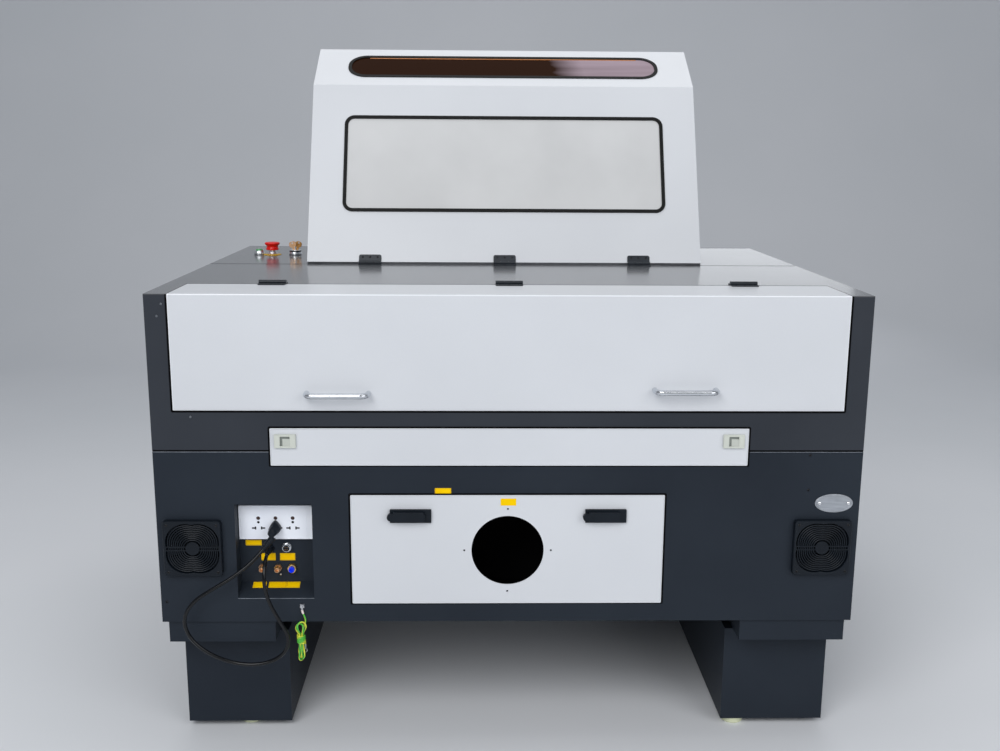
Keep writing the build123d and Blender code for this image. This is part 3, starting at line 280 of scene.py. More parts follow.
finishes = {
    "case_paint": paint(
        "case_powder_coat", (30, 36, 45), (40, 47, 56), 0.48, grain=1500, depth=0.3, patch=2.4,
        spread=0.12, shine=0.15),
    "upper_paint": paint(
        "upper_powder_coat", (44, 48, 55), (55, 59, 66), 0.46, grain=1500, depth=0.3, patch=2.4,
        spread=0.12, shine=0.15),
    "deck_paint": paint(
        "deck_gloss_coat", (74, 75, 78), (86, 88, 92), 0.24, grain=700, depth=0.1, coat=0.5,
        patch=2.0),
    "white_paint": paint(
        "white_door_coat", (207, 210, 215), (217, 220, 225), 0.36, grain=800, depth=0.1,
        coat=0.1, patch=1.6, spread=0.07, shine=0.3),
    "galvanised": brushed(
        "galvanised_sheet", (150, 155, 160), (190, 194, 198), 0.42, stretch=(1, 1, 0.3),
        metallic=0.9, grain=60.0),
    "foot_plastic": paint(
        "levelling_foot_nylon", (205, 209, 176), (222, 226, 194), 0.5, grain=1200, depth=0.1),
    "white_plastic": paint(
        "socket_plate_plastic", (238, 243, 255), (248, 251, 255), 0.26, depth=0.05, coat=0.3,
        patch=6.0, spread=0.05),
    "brass": brushed("turned_brass", (176, 122, 66), (214, 164, 98), 0.3, stretch=(1, 0.2, 1)),
    "black_plastic": paint(
        "black_moulding", (13, 19, 26), (23, 30, 39), 0.42, grain=1600, depth=0.16, patch=8.0,
        spread=0.12, shine=0.2),
    "steel": brushed(
        "ground_steel", (168, 170, 174), (206, 208, 212), 0.26, stretch=(1, 0.15, 1)),
    "chrome": brushed(
        "chrome_plate", (190, 194, 200), (232, 235, 239), 0.2, stretch=(0.3, 1, 1), grain=90.0),
    "hinge_black": paint(
        "hinge_satin_black", (28, 33, 39), (41, 47, 54), 0.38, grain=1100, patch=12.0,
        spread=0.12, metallic=0.2, shine=0.35),
    "rubber": paint(
        "window_gasket_rubber", (9, 10, 10), (19, 20, 20), 0.6, grain=1400, depth=0.18,
        patch=9.0, spread=0.14, shine=0.2),
    "cream_plastic": paint(
        "latch_cream_plastic", (196, 200, 191), (208, 212, 203), 0.38, depth=0.08),
    "red_plastic": paint(
        "stop_button_red", (228, 14, 8), (248, 26, 14), 0.3, grain=700, depth=0.05, coat=0.1,
        shine=0.35),
    "green_plastic": paint(
        "start_button_green", (30, 140, 60), (60, 178, 84), 0.28, grain=700, depth=0.04,
        coat=0.3),
    "tube_glass": paint(
        "laser_tube_glass", (196, 208, 214), (216, 226, 232), 0.08, grain=300, depth=0.02,
        coat=0.6),
    "aluminium": brushed(
        "anodised_aluminium", (160, 163, 168), (196, 199, 204), 0.34, stretch=(0.05, 1, 1)),
    "instrument_case": paint("supply_case_grey", (126, 132, 140), (144, 150, 158), 0.4),
    "cable_black": paint(
        "cord_black_pvc", (5, 7, 11), (10, 13, 18), 0.2, grain=1200, depth=0.06, patch=20.0,
        shine=0.35),
    # painted shade: near-black for the inside of the exhaust duct
    "duct_black": paint(
        "duct_painted_shade", (8, 8, 9), (14, 14, 16), 0.7, depth=0.2, patch=6.0, shine=0.05),
    "bright_rivet": brushed(
        "rivet_bright_metal", (225, 228, 232), (246, 247, 249), 0.2, stretch=(1, 1, 1),
        grain=300.0),
    "zinc_screw": brushed(
        "zinc_screw_metal", (110, 115, 122), (160, 165, 172), 0.34, stretch=(1, 1, 1),
        metallic=0.9, grain=400.0),
    # painted highlight: whiter than the door paint, for the rear door's fold and side edges
    "door_edge_highlight": paint(
        "door_edge_painted_highlight", (238, 241, 246), (246, 248, 252), 0.22, grain=700, depth=0.05,
        coat=0.3),
    # painted highlight: lighter strips on the edges of the case's sheets and of the recess
    "case_edge_highlight": paint(
        "case_edge_painted_highlight", (88, 94, 104), (150, 156, 166), 0.4, grain=600, depth=0.2,
        patch=40.0, spread=0.2, metallic=0.5),
    # painted shade: dark strips in the latch scoop where shade falls
    "latch_painted_shade": paint(
        "latch_scoop_painted_shade", (100, 106, 102), (128, 134, 128), 0.5, depth=0.08),
    # painted shade: the scoop floor, a little darker than the latch
    "latch_floor": paint(
        "latch_floor_shaded_plastic", (182, 187, 179), (195, 199, 191), 0.42, depth=0.08),
    # painted shadow: near-black for strips and hole pieces put where only shade falls
    "painted_shadow_black": paint(
        "painted_shadow_matte_black", (5, 5, 6), (10, 10, 12), 0.8, depth=0.2, patch=6.0, shine=0.05),
    "satin_nickel": brushed(
        "satin_nickel_plate", (206, 210, 215), (242, 244, 247), 0.3, stretch=(1, 1, 0.3),
        grain=200.0),
    "pale_gold": brushed(
        "plated_pale_gold", (224, 184, 116), (250, 218, 156), 0.34, stretch=(1, 0.2, 1)),
    "copper_brass": brushed(
        "turned_copper_brass", (206, 158, 118), (246, 206, 166), 0.36, stretch=(1, 0.2, 1)),
    "blue_plastic": paint(
        "push_collar_blue", (6, 40, 222), (18, 62, 248), 0.34, depth=0.05, shine=0.2),
    "brown_shutter": paint("outlet_shutter_brown", (34, 17, 15), (60, 32, 27), 0.5, depth=0.1),
    "yellow_tape": paint(
        "yellow_tag_tape", (255, 200, 0), (255, 214, 2), 0.5, grain=500, patch=30.0,
        shine=0.06),
    "tag_border": paint(
        "tag_border_print", (150, 110, 10), (176, 132, 18), 0.5, grain=500, depth=0.1),
    "yellow_plastic": paint(
        "stop_ring_yellow", (226, 178, 20), (240, 196, 34), 0.4, grain=700, depth=0.05),
    "pale_sleeve": paint(
        "crimp_sleeve_pale", (226, 208, 204), (240, 226, 222), 0.42, grain=700, depth=0.06),
    "badge_metal": brushed(
        "pressed_badge_metal", (150, 155, 162), (196, 200, 206), 0.32, stretch=(0.1, 1, 1),
        metallic=0.9, grain=220.0),
    "black_screw": paint(
        "screw_head_black", (24, 25, 28), (46, 48, 52), 0.32, grain=1500, depth=0.1, patch=40.0,
        spread=0.1, metallic=0.6),
    "amber_edge": paint(
        "pane_edge_amber", (168, 96, 44), (204, 132, 70), 0.3, grain=400, depth=0.05, coat=0.2),
    "screen_glass": paint(
        "screen_dark_glass", (16, 22, 26), (24, 32, 38), 0.12, grain=300, depth=0.02, coat=0.6),
}
finishes["smoked_acrylic"] = tinted_panes()
finishes["earth_sheath"] = striped_sheath()

for entry in frame["record"]["subparts"]:
    cad_mesh = frame["nodes"][entry["node"]].data
    cad_mesh.materials.clear()
    # painted shade: the exhaust plenum takes near-black in place of its own slot, standing in for the shade inside
    # the duct
    shaded_duct = entry["node"] == "exhaust_plenum"
    cad_mesh.materials.append(finishes["duct_black" if shaded_duct else entry["material_slot"]])


# ---------------------------------------------------------------- shapes
def placed(name, data, finish, body):
    """A mesh or curve as an object with its finish and the body it rides on."""
    data.materials.append(finishes[finish])
    obj = bpy.data.objects.new(name, data)
    bpy.context.scene.collection.objects.link(obj)
    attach(obj, body)
    return obj


def make(name, shape, finish, body="cabinet", crease=38.0):
    """Turns (points, faces) into a smooth object with sharp creases past an angle."""
    points, faces = shape
    mesh = bpy.data.meshes.new(name)
    mesh.from_pydata((points / METRE).tolist(), [], faces)
    mesh.polygons.foreach_set("use_smooth", [True] * len(mesh.polygons))
    mesh.set_sharp_from_angle(angle=math.radians(crease))
    return placed(name, mesh, finish, body)


def cord_line(name, route, radius, finish):
    """A round cord of the cabinet on a NURBS line whose control points are the route."""
    curve = bpy.data.curves.new(name, "CURVE")
    curve.dimensions = "3D"
    curve.bevel_depth = radius / METRE
    curve.bevel_resolution = 5
    curve.resolution_u = 12
    curve.use_fill_caps = True
    spline = curve.splines.new("NURBS")
    spline.points.add(len(route) - 1)
    for point, place in zip(spline.points, route):
        point.co = (*(place / METRE), 1.0)
    spline.order_u = 3
    spline.use_endpoint_u = True
    return placed(name, curve, finish, "cabinet")


def merged(*shapes):
    """Several (points, faces) shapes as one."""
    points, faces, first = [], [], 0
    for shape_points, shape_faces in shapes:
        points.append(shape_points)
        faces += [tuple(first + i for i in face) for face in shape_faces]
        first += len(shape_points)
    return np.vstack(points), faces


def net(rows, columns, wrap_rows, wrap_columns):
    """Four-sided faces over rows of points, closed on themselves where wrapped."""
    faces = []
    for i in range(rows if wrap_rows else rows - 1):
        for j in range(columns if wrap_columns else columns - 1):
            k, m = (i + 1) % rows, (j + 1) % columns
            faces.append((i * columns + j, i * columns + m, k * columns + m, k * columns + j))
    return faces


def stacked(rings):
    """A closed body through rings of equal count, with a flat face at each end."""
    rings = np.asarray(rings, float)
    rows, columns = rings.shape[:2]
    faces = net(rows, columns, False, True)
    faces.append(tuple(range(columns))[::-1])
    faces.append(tuple(range((rows - 1) * columns, rows * columns)))
    return rings.reshape(-1, 3), faces


def hollow(rings):
    """A body with a hole through rings of equal count, the last joined to the first."""
    rings = np.asarray(rings, float)
    return rings.reshape(-1, 3), net(*rings.shape[:2], True, True)


def square_to(axis):
    """The axis at length one, and two directions at right angles to it and each other."""
    axis = axis / np.linalg.norm(axis)
    first = np.cross(axis, Z if abs(axis[2]) < 0.9 else X)
    first /= np.linalg.norm(first)
    return axis, first, np.cross(axis, first)


def full_turn(steps):
    """Angles once round, evenly spaced."""
    return np.linspace(0, 2 * math.pi, steps, endpoint=False)


def circle(steps, first=X, second=Z):
    """Points on a circle of radius one between two directions."""
    turn = full_turn(steps)[:, None]
    return np.cos(turn) * first + np.sin(turn) * second


def turned(foot, axis, profile, steps=40):
    """Lathe form: each (radius, height) of the profile is a circle round the axis."""
    axis, first, second = square_to(axis)
    round_it = circle(steps, first, second)
    return stacked([foot + height * axis + radius * round_it for radius, height in profile])


def hexagonal(foot, axis, radius, height):
    """Six-sided nut: the reach is cos 30 over cos of the angle from a flat's middle, and the
    corners are cut off at the outer end."""
    axis, first, second = square_to(axis)
    turn = full_turn(48)
    flat = math.cos(math.pi / 6) / np.cos((turn % (math.pi / 3)) - math.pi / 6)
    round_it = circle(48, first, second)
    return stacked([foot + rise * axis + radius * np.minimum(flat, cut)[:, None] * round_it
                    for rise, cut in ((0, 1), (height - 0.6, 1), (height, 0.93))])


def rounded_rectangle(width, height, corner, steps=8):
    """Outline in the plane, anticlockwise, with a quarter circle at each corner."""
    points = []
    for k, (sx, sy) in enumerate(((1, -1), (1, 1), (-1, 1), (-1, -1))):
        for a in np.linspace(-math.pi / 2, 0, steps) + k * math.pi / 2:
            points.append((sx * (width / 2 - corner) + corner * math.cos(a),
                           sy * (height / 2 - corner) + corner * math.sin(a)))
    return np.array(points)


def oval(width, height):
    """Outline of an ellipse, anticlockwise."""
    turn = full_turn(56)
    return np.column_stack((width / 2 * np.cos(turn), height / 2 * np.sin(turn)))


def drawn_in(outline, inset):
    """An outline moved inwards along its normals."""
    ahead = np.roll(outline, -1, 0) - np.roll(outline, 1, 0)
    ahead /= np.linalg.norm(ahead, axis=1)[:, None]
    return outline - inset * np.column_stack((ahead[:, 1], -ahead[:, 0]))


def on_plane(outline, origin, across, up, height=0.0):
    """A flat outline as points in space, lifted off its plane by a height."""
    return (origin + outline[:, :1] * across + outline[:, 1:] * up
            + height * np.cross(across, up))


def soft_plate(outline, origin, across, up, thickness, edge):
    """A plate with its outer edge rounded by a quarter circle."""
    arc = np.linspace(0, math.pi / 2, 5)
    insets = [0, *(edge * (1 - np.cos(arc)))]
    heights = [0, *(thickness - edge + edge * np.sin(arc))]
    return stacked([on_plane(drawn_in(outline, inset), origin, across, up, height)
                    for inset, height in zip(insets, heights)])


def bead(loop, out, width, height, steps=7):
    """A half-round strip on a closed line of points."""
    ahead = np.roll(loop, -1, 0) - np.roll(loop, 1, 0)
    ahead /= np.linalg.norm(ahead, axis=1)[:, None]
    side = np.cross(ahead, out)
    turn = np.linspace(math.pi, 0, steps)
    points = (loop[:, None] + side[:, None] * (np.cos(turn)[:, None] * width / 2)
              + out * (np.sin(turn)[:, None] * height))
    return points.reshape(-1, 3), net(len(loop), steps, True, True)


def rim(size, corner, steps, origin, width, height, across=X, up=Z, arc=7):
    """A half-round strip along a rectangle with round corners."""
    line = on_plane(rounded_rectangle(*size, corner, steps), origin, across, up)
    return bead(line, np.cross(across, up), width, height, arc)


def pipe(path, radii, steps=20):
    """A round tube along a path, with a radius at each point of it."""
    path = np.asarray(path, float)
    radii = np.broadcast_to(radii, len(path))
    ahead = np.gradient(path, axis=0)
    ahead /= np.linalg.norm(ahead, axis=1)[:, None]
    side = square_to(ahead[0])[1]
    rings = []
    for place, way, radius in zip(path, ahead, radii):
        side = side - way * side.dot(way)
        side /= np.linalg.norm(side)
        rings.append(place + radius * circle(steps, side, np.cross(way, side)))
    return stacked(rings)


def strip(start, end, radius, steps=10):
    """A straight round strip between two points."""
    return pipe(np.linspace(start, end, 6), radius, steps)


def screw_head(place, out, radius, height=1.6):
    """A domed head with a cross recess: height falls off as a dome, and is cut in a cross."""
    out, first, second = square_to(out)
    turn = full_turn(24)
    round_it = circle(24, first, second)
    rings = []
    for share in (1.0, 0.97, 0.85, 0.7, 0.55, 0.42, 0.3, 0.18, 0.06):
        rise = height * math.sqrt(1.02 - share ** 2)
        beside = share * np.minimum(abs(np.cos(turn)), abs(np.sin(turn)))
        lift = np.where((beside < 0.12) & (share < 0.6), rise * 0.35, rise)
        rings.append(place + share * radius * round_it + lift[:, None] * out)
    return stacked([rings[0] - 0.2 * out] + rings)


def screws(places, out, radius, height=1.6):
    """A screw head at each place."""
    return merged(*[screw_head(place, out, radius, height) for place in places])


# ---------------------------------------------------------------- mains cord and plug
def power_cord_line():
    """The cord from its gland through one hanging loop and up into the plug."""
    route = [rear(x, z, out) for x, z, out in (
        (-520, 438, -22), (-520, 438, 3), (-520, 425, 26), (-520, 402, 39),
        (-519, 374, 40), (-508, 338, 39), (-489, 300, 37), (-471, 264, 35),
        (-480, 229, 33), (-512, 206, 32), (-556, 198, 31), (-604, 206, 31),
        (-650, 228, 32), (-685, 262, 33), (-697, 304, 33), (-677, 343, 32),
        (-634, 371, 30), (-588, 397, 24), (-545.83, 428.64, 11.27),
        (-527.17, 450.32, 2.23))]
    cord = cord_line("power_cord_sheath", route, 4.0, "cable_black")
    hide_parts("power_cord")
    return cord, tuple(route[0] / METRE)


def mains_plug():
    """Moulded plug: kite-shaped outlines stacked from the wall out to a grip.

    The kite's reach is a rounded diamond, longer above its middle than below."""
    middle, power = rear(MIDDLE_OUTLET, 488.5, OUTLET_FACE), 1.35
    turn, round_it = full_turn(56), circle(56)
    tall = np.where(np.sin(turn) > 0, 1.22, 0.98)
    kite = ((abs(np.cos(turn)) / 0.92) ** power
            + (abs(np.sin(turn)) / tall) ** power) ** (-1 / power)
    body = stacked([middle + 14.4 * size * kite[:, None] * round_it + shift * (X + Z)
                    + reach * BACK for reach, size, shift in (
                        (0, 0.93, 0), (2, 1, 0), (12, 1, 0), (16, 0.95, -0.5),
                        (18, 0.86, -1), (27, 0.78, -2), (33, 0.66, -3), (36, 0.45, -4))])
    shares = np.linspace(-0.15, 1, 26)
    path = rear(-508.5, 472, -6.8) + shares[:, None] * 30 * np.array([-0.622, -0.301, -0.723])
    taper = 8.3 - 3.0 * np.clip(shares, 0, 1) - 0.7 * (np.arange(26) % 3 == 2)
    plug = make("mains_plug_moulding", merged(body, pipe(path, taper)), "black_plastic")
    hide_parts("power_plug")
    return plug


cord, cord_exit = power_cord_line()
plug = mains_plug()


# ---------------------------------------------------------------- connector corner
def cable_gland():
    """Hexagon, domed nut and a ribbed tapering sleeve round the cord."""
    x, _, z = middle_of("cord_gland")
    foot = rear(x, z, RECESS)
    dome = turned(foot + 5.5 * BACK, BACK, [(8.0, 0), (8.8, 0.6), (8.8, 4.5), (8.2, 5.5),
                                            (8.0, 8.5), (7.0, 11.0), (6.2, 12.2)], 48)
    share = np.linspace(0, 1, 30)
    radii = 6.2 - 1.6 * share - 0.4 * (np.arange(30) % 3 == 1)
    sleeve = pipe(foot + (17.0 + share[:, None] * 20) * BACK, radii, 28)
    gland = make("cable_gland", merged(hexagonal(foot, BACK, 10.5, 5.8), dome, sleeve),
                 "black_plastic")
    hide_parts("cord_gland")


def hose_fittings():
    """Two turned hose tails and a push-in elbow collar behind hexagon nuts."""
    tails = []
    for foot in (rear(-537.0, 395, RECESS), rear(-503.4, 394, RECESS)):
        tails += [hexagonal(foot, BACK, 8.8, 6.5),
                  turned(foot + 6.5 * BACK, BACK, [
                      (5.8, 0), (5.8, 1.5), (7.0, 2.5), (5.6, 5.5), (7.0, 6.0), (5.6, 9.0),
                      (6.8, 9.5), (5.2, 13.0), (3.8, 13.5), (3.6, 6.0)], 36)]
    brass = make("hose_tails", merged(*tails), "copper_brass")
    foot = rear(-472.5, 394, RECESS)
    air = merged(hexagonal(foot, BACK, 10.0, 6.0),
                 turned(foot + 6.0 * BACK, BACK, [(8.6, 0), (9.4, 0.6), (9.4, 4.8),
                                                  (8.6, 5.6)]))
    ring = make("air_fitting_ring", air, "pale_gold")
    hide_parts("bulkhead_fittings")
    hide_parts("bulkhead_fittings")
    collar = turned(foot + 11.4 * BACK, BACK, [(6.2, 0), (6.6, 0.5), (6.6, 5.2), (5.8, 6.2),
                                               (4.0, 6.4), (3.6, 5.8), (3.4, 2.0)])
    make("air_push_collar", collar, "blue_plastic")


def signal_socket():
    """Round metal socket with a dark insert and four pins."""
    foot = rear(-482.7, 442.4, RECESS)
    shell = turned(foot, BACK, [
        (9.8, 0), (9.8, 4.0), (8.6, 4.4), (8.6, 5.0), (9.8, 5.4), (9.8, 9.0), (8.4, 9.6),
        (8.0, 13.8), (7.0, 14.0), (6.8, 12.0), (6.6, 9.0)], 48)
    ring = make("signal_socket_shell", shell, "chrome")
    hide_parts("bulkhead_fittings")
    insert = turned(foot + 9.0 * BACK, BACK, [(6.6, 0), (6.6, 3.0), (5.8, 3.4)])
    make("signal_socket_insert", insert, "black_plastic")
    pins = [turned(foot + 12.2 * BACK + sx * X + sz * Z, BACK, [(0.9, 0), (0.9, 1.6),
                                                                (0.6, 2.2)], 14)
            for sx, sz in 3.2 * math.sqrt(0.5) * np.array([(1, 1), (-1, 1), (-1, -1), (1, -1)])]
    make("signal_socket_pins", merged(*pins), "brass")


def socket_dress():
    """Black pieces deep in the outlet holes that stand in for the shade inside them (painted shade), brown earth
    shutters, fine module joints and a rounded rim.
    """
    plate = outer_middle("socket_plate")
    dark, brown = [], []
    # painted shade: the black pieces in each hole stand in for the shade inside it; the brown earth shutters keep
    # their own colour
    for x in MIDDLE_OUTLET + OUTLET_PITCH * np.array([-1, 0, 1]):
        dark.append(turned(rear(x, plate[2], HOLE_PIECE_SEAT), BACK, [
            (2.8, 0), (2.8, 2.4), (2.4, 2.8)], 20))
        brown.append(turned(rear(x, 509.45, HOLE_PIECE_SEAT), BACK, [
            (4.1, 0), (4.1, 2.0), (3.5, 2.4)], 26))
        for side in (-1, 1):
            for shift, wide, tall in ((9.7, 9.3, 3.3), (6.5, 2.9, 6.9)):
                dark.append(soft_plate(rounded_rectangle(wide, tall, 0.4, 4),
                                       rear(x + side * shift, 487.05, HOLE_PIECE_SEAT), X, Z,
                                       2.9, 0.4))
    make("outlet_hole_painted_shade", merged(*dark), "painted_shadow_black")
    make("outlet_earth_shutters", merged(*brown), "brown_shutter")
    edge = rim((157.5, 74.5), 3, 8, plate, 2.2, 0.9)
    joints = [rim((0.6, 66), 0.2, 3, rear(x, plate[2], OUTLET_FACE), 0.7, 0.25, arc=5)
              for x in (-579.0, -438.5)]
    make("socket_plate_rim", merged(edge, *joints), "white_plastic")


def tag(width, height, place, up=Z):
    """A piece of tape with soft edges, and the thin border on it."""
    outline = rounded_rectangle(width, height, 0.8, 4)
    border = on_plane(drawn_in(outline, 1.5), place, X, up, 0.36)
    return (soft_plate(outline, place, X, up, 0.4, 0.2),
            bead(border, np.cross(X, up), 0.6, 0.1, 5))


def yellow_tags():
    """Blank yellow tags on the rear face, in the recess and on its sloping floor."""
    tags = [tag(width, height, rear(x, z, out)) for x, z, out, width, height in (
        (-555.0, 451.0, RECESS, 34.5, 12.5), (-524.0, 418.5, RECESS, 31.0, 16.5),
        (-482.5, 418.5, RECESS, 33.0, 16.5), (-142.0, 579.0, 0.0, 34.5, 16.5))]
    depth = 31
    height = RECESS_LIP + depth * math.tan(RECESS_FALL) + 1.72
    tags += [tag(width, 16.5, rear(x, height, -depth), uphill(RECESS_FALL))
             for x, width in ((-543.6, 29.0), (-504.6, 38.5), (-470.6, 29.0))]
    tape, borders = zip(*tags)
    make("blank_yellow_tags", merged(*tape), "yellow_tape")
    make("yellow_tag_borders", merged(*borders), "tag_border")


def service_door_tag():
    """The tag on the exhaust door, which swings with it."""
    make("exhaust_door_tag", tag(33.0, 15.5, rear(-3, 557, DOOR_FACE))[0], "yellow_tape",
         "service_door")


def round_hank(angle, radius, z):
    """A point of the hank: an angle and a radius about its upright middle."""
    turn = math.radians(angle)
    return rear(HANK_X + radius * math.cos(turn), z, HANK_OUT + radius * math.sin(turn))


def hank_strand(side, top, low, waist_angle, low_angle):
    """A strand from a top fold to a low fold, drawn in at the waist by a cosine flare."""
    points = []
    for z in np.linspace(top, low, 12)[:-1]:
        flare = np.clip(1 - min((top - z) / 15.6, (z - low) / 18), 0, 1)
        radius = WAIST + (FOLD - WAIST) * (1 - math.cos(math.pi * flare)) / 2
        share = np.clip((240 - z) / (240 - low), 0, 1)
        angle = waist_angle + (low_angle - waist_angle) * share ** 2 * (3 - 2 * share)
        points.append(round_hank(angle, side * radius, z))
    return points


def earth_wire_line():
    """Wire from its lug into three loops about one upright line, then five wraps and a tail.

    Each loop lies at its own angle and is a little shorter than the one before."""
    route = [rear(x, z, out) for x, z, out in (
        (EARTH_X, 313.5, 3.5), (EARTH_X, 309.5, 3.5), (-445.0, 303.5, 3.6),
        (-441.9, 296.5, 3.5), (-440.9, 289, 3.0), (-441.9, 282, 2.4))]
    arc = np.linspace(0, math.pi, 7)
    for turn, (plane, low_plane) in enumerate(((-60, -70), (0, 50), (60, 80))):
        top, low = 278.1 - 3.9 * max(turn - 1, 0), 211.9 + 3.8 * turn
        route += hank_strand(1, top, low, plane, low_plane)[0 if turn == 0 else 1:]
        route += [round_hank(low_plane, FOLD * math.cos(a), low - FOLD * math.sin(a))
                  for a in arc]
        if turn < 2:
            top = 278.1 - 3.9 * turn
            route += hank_strand(-1, top, low, plane, low_plane)[:0:-1]
            route += [round_hank(plane + 60 * a / math.pi, -FOLD * math.cos(a),
                                 top + FOLD * math.sin(a)) for a in arc]
    route += [round_hank(*place) for place in (
        (259.7, 10.7, 224.5), (259.5, 10.0, 229.5), (262, 9.5, 233.8), (271, 9.2, 237.6),
        (291, 8.8, 240.2), (320, 8.3, 241.4))]
    route += [round_hank(352 + 30 * step, 7.9, 241.8 + 0.3125 * step) for step in range(55)]
    route += [round_hank(*place) for place in (
        (204, 8.2, 259.0), (230, 9.0, 259.3), (254, 10.1, 258.6), (275, 11.1, 256.0),
        (291, 11.7, 251.2), (300, 11.9, 244.8), (304, 11.9, 237.5), (304, 11.9, 231))]
    wire = cord_line("earth_wire_hank", route, 1.75, "earth_sheath")
    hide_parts("earth_wire")
    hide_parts("earth_hank")
    return wire, tuple(route[0] / METRE), route[-1]


def earth_lugs(tail):
    """Ring lug on the tail of the hank and the pale sleeve under the earth stud."""
    foot = tail - 12.5 * Z
    ring = hollow([foot + radius * circle(40) + height * BACK for radius, height in (
        (4.8, -0.4), (4.8, 0.4), (2.6, 0.4), (2.6, -0.4))])
    barrel = pipe([foot + 4.2 * Z, foot + 7.0 * Z, tail + 2.2 * Z], [1.2, 2.2, 2.3], 16)
    lug = make("hank_ring_lug", merged(ring, barrel), "steel")
    sleeve = pipe([rear(EARTH_X, 317, 3.5), rear(EARTH_X, 312.5, 3.5),
                   rear(-446.7, 308.5, 3.55), rear(-445.3, 304.6, 3.6)],
                  [2.4, 2.6, 2.6, 2.2], 18)
    make("earth_lug_sleeve", sleeve, "pale_sleeve")
    return lug


# ---------------------------------------------------------------- rear face
def oval_badge():
    """A bare oval plate with a raised border, held by two domed rivets."""
    place = rear(BADGE, BADGE_HEIGHT)
    base = soft_plate(oval(82, 41.5), place, X, Z, 1.6, 0.8)
    border = bead(on_plane(oval(75.5, 35.0), place, X, Z, 1.5), BACK, 1.2, 0.6)
    make("oval_plate", merged(base, border), "badge_metal", crease=50)
    rivets = [turned(rear(BADGE + dx, BADGE_HEIGHT, 1.4), BACK, [
        (4.3, 0), (4.4, 0.4), (3.9, 1.3), (2.8, 2.1), (1.4, 2.5), (0.4, 2.6)], 24)
              for dx in (-31, 31)]
    make("oval_plate_rivets", merged(*rivets), "bright_rivet")


def case_screws():
    """Cross-head screws round the case, the fans and the recess."""
    pale = [rear(-714.7, 979), rear(-724.6, 954.3), rear(-666.8, 742.1)]
    make("upper_case_screws", screws(pale, BACK, 2.6), "zinc_screw")
    dark = [rear(637.1, 660), rear(637.7, 583), rear(-738, 331)]
    fans = [rear(x + sx * 52.5, FAN_HEIGHT + sz * 52.5, 13.7)
            for x in FANS for sx in (-1, 1) for sz in (-1, 1)]
    make("case_screws", merged(screws(dark, BACK, 3.0), screws(fans, BACK, 3.2, 1.2)),
         "black_screw")
    make("bright_screw", screw_head(rear(-498.5, 377.5, RECESS), BACK, 2.2), "bright_rivet")


def fan_guard_faces():
    """Guards with a four-lobed opening, nine rings, a hub and two pairs of bars.

    The opening's reach is 53 + 1.6 cos^2 a + 7.8 |sin 2a|, and ring k lies k tenths of the
    way from the hub to it. The frame is a square by a superellipse."""
    turn, around, hub, parts = full_turn(120), circle(120), 15.0, []
    cosine, sine = abs(np.cos(turn)), abs(np.sin(turn))
    lobe = 53.0 + 1.6 * cosine ** 2 + 7.8 * abs(np.sin(2 * turn))
    square = GUARD_REACH / (cosine ** 22 + sine ** 22) ** (1 / 22)
    bands = [[(square, 0), (square, 12.5), (square - 1.0, 13.8), (lobe + 1.6, 13.8),
              (lobe + 0.4, 13.3), (lobe, 12.2), (lobe, 0)]]
    for line in (hub + ring / 10 * (lobe - hub) for ring in range(1, 10)):
        bands.append([(line + 1.3, 9.5), (line + 1.3, 11.8), (line, 12.6),
                      (line - 1.3, 11.8), (line - 1.3, 9.5)])
    for x in FANS:
        place = rear(x, FAN_HEIGHT)
        parts += [hollow([place + reach[:, None] * around + out * BACK
                          for reach, out in band]) for band in bands]
        parts.append(turned(place, BACK, [(hub, 9.5), (hub, 12.0), (14.2, 12.8),
                                          (10.0, 13.1), (1.0, 13.2)], 48))
        parts += [soft_plate(rounded_rectangle(43.0, 2.2, 0.6, 4),
                             rear(x + shift, FAN_HEIGHT + rise, 11.2), X, Z, 1.8, 0.5)
                  for shift in (-35, 35) for rise in (-4, 4)]
    guards = make("fan_guard_faces", merged(*parts), "black_plastic",
                  crease=30)
    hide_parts("fan_guards")


def hinge_screws():
    """Countersunk screws in the leaves of the lid hinges and of the rear door hinges."""
    lid_row = [x + dx for x in LID_HINGES for dx in (-19, 0, 19)]
    door_row = [x + dx for x in DOOR_HINGES for dx in (-20, 0, 20)]
    case = [on_top(x, 561.5, 2.5) for x in lid_row] + [on_top(x, 183.5, 2.5) for x in door_row]
    door = [on_top(x, 152.5, 2.5) for x in door_row]
    lid = [LID_HINGE + 15.5 * LID_UP - 2.2 * LID_OUT + x * X for x in lid_row]
    for name, places, out, body in (("hinge_screws_case", case, Z, "cabinet"),
                                    ("hinge_screws_door", door, Z, "rear_door"),
                                    ("hinge_screws_lid", lid, LID_OUT, "lid")):
        make(name, screws(places, out, 2.8, 0.9), "black_screw", body)


def rolled_edges():
    """Folded sheet edges of the white doors: a fine half-round roll on each outline. The rear door's top fold and
    side edges are strips whiter than the door paint, a painted highlight.
    """
    for door, name in (("pass_flap", "pass_flap_rolled_edge"),
                       ("service_door", "exhaust_door_rolled_edge")):
        low, high = corners(door)
        roll = rim((high - low)[::2] - 1.5, 1.2, 4, outer_middle(door), 2.6, 1.1)
        make(name, roll, "white_paint", door)
    # painted highlight: the fold and side strips are whiter than the door, standing in for the light caught by its
    # edges
    fold = strip(rear(-701, 998.5, -1.3), rear(701, 998.5, -1.3), 1.7, 16)
    sides = [strip(rear(x, 757, 0.1), rear(x, 999, 0.1), 1.0) for x in (-701.2, 701.2)]
    make("rear_door_fold_highlight", merged(fold, *sides), "door_edge_highlight", "rear_door")


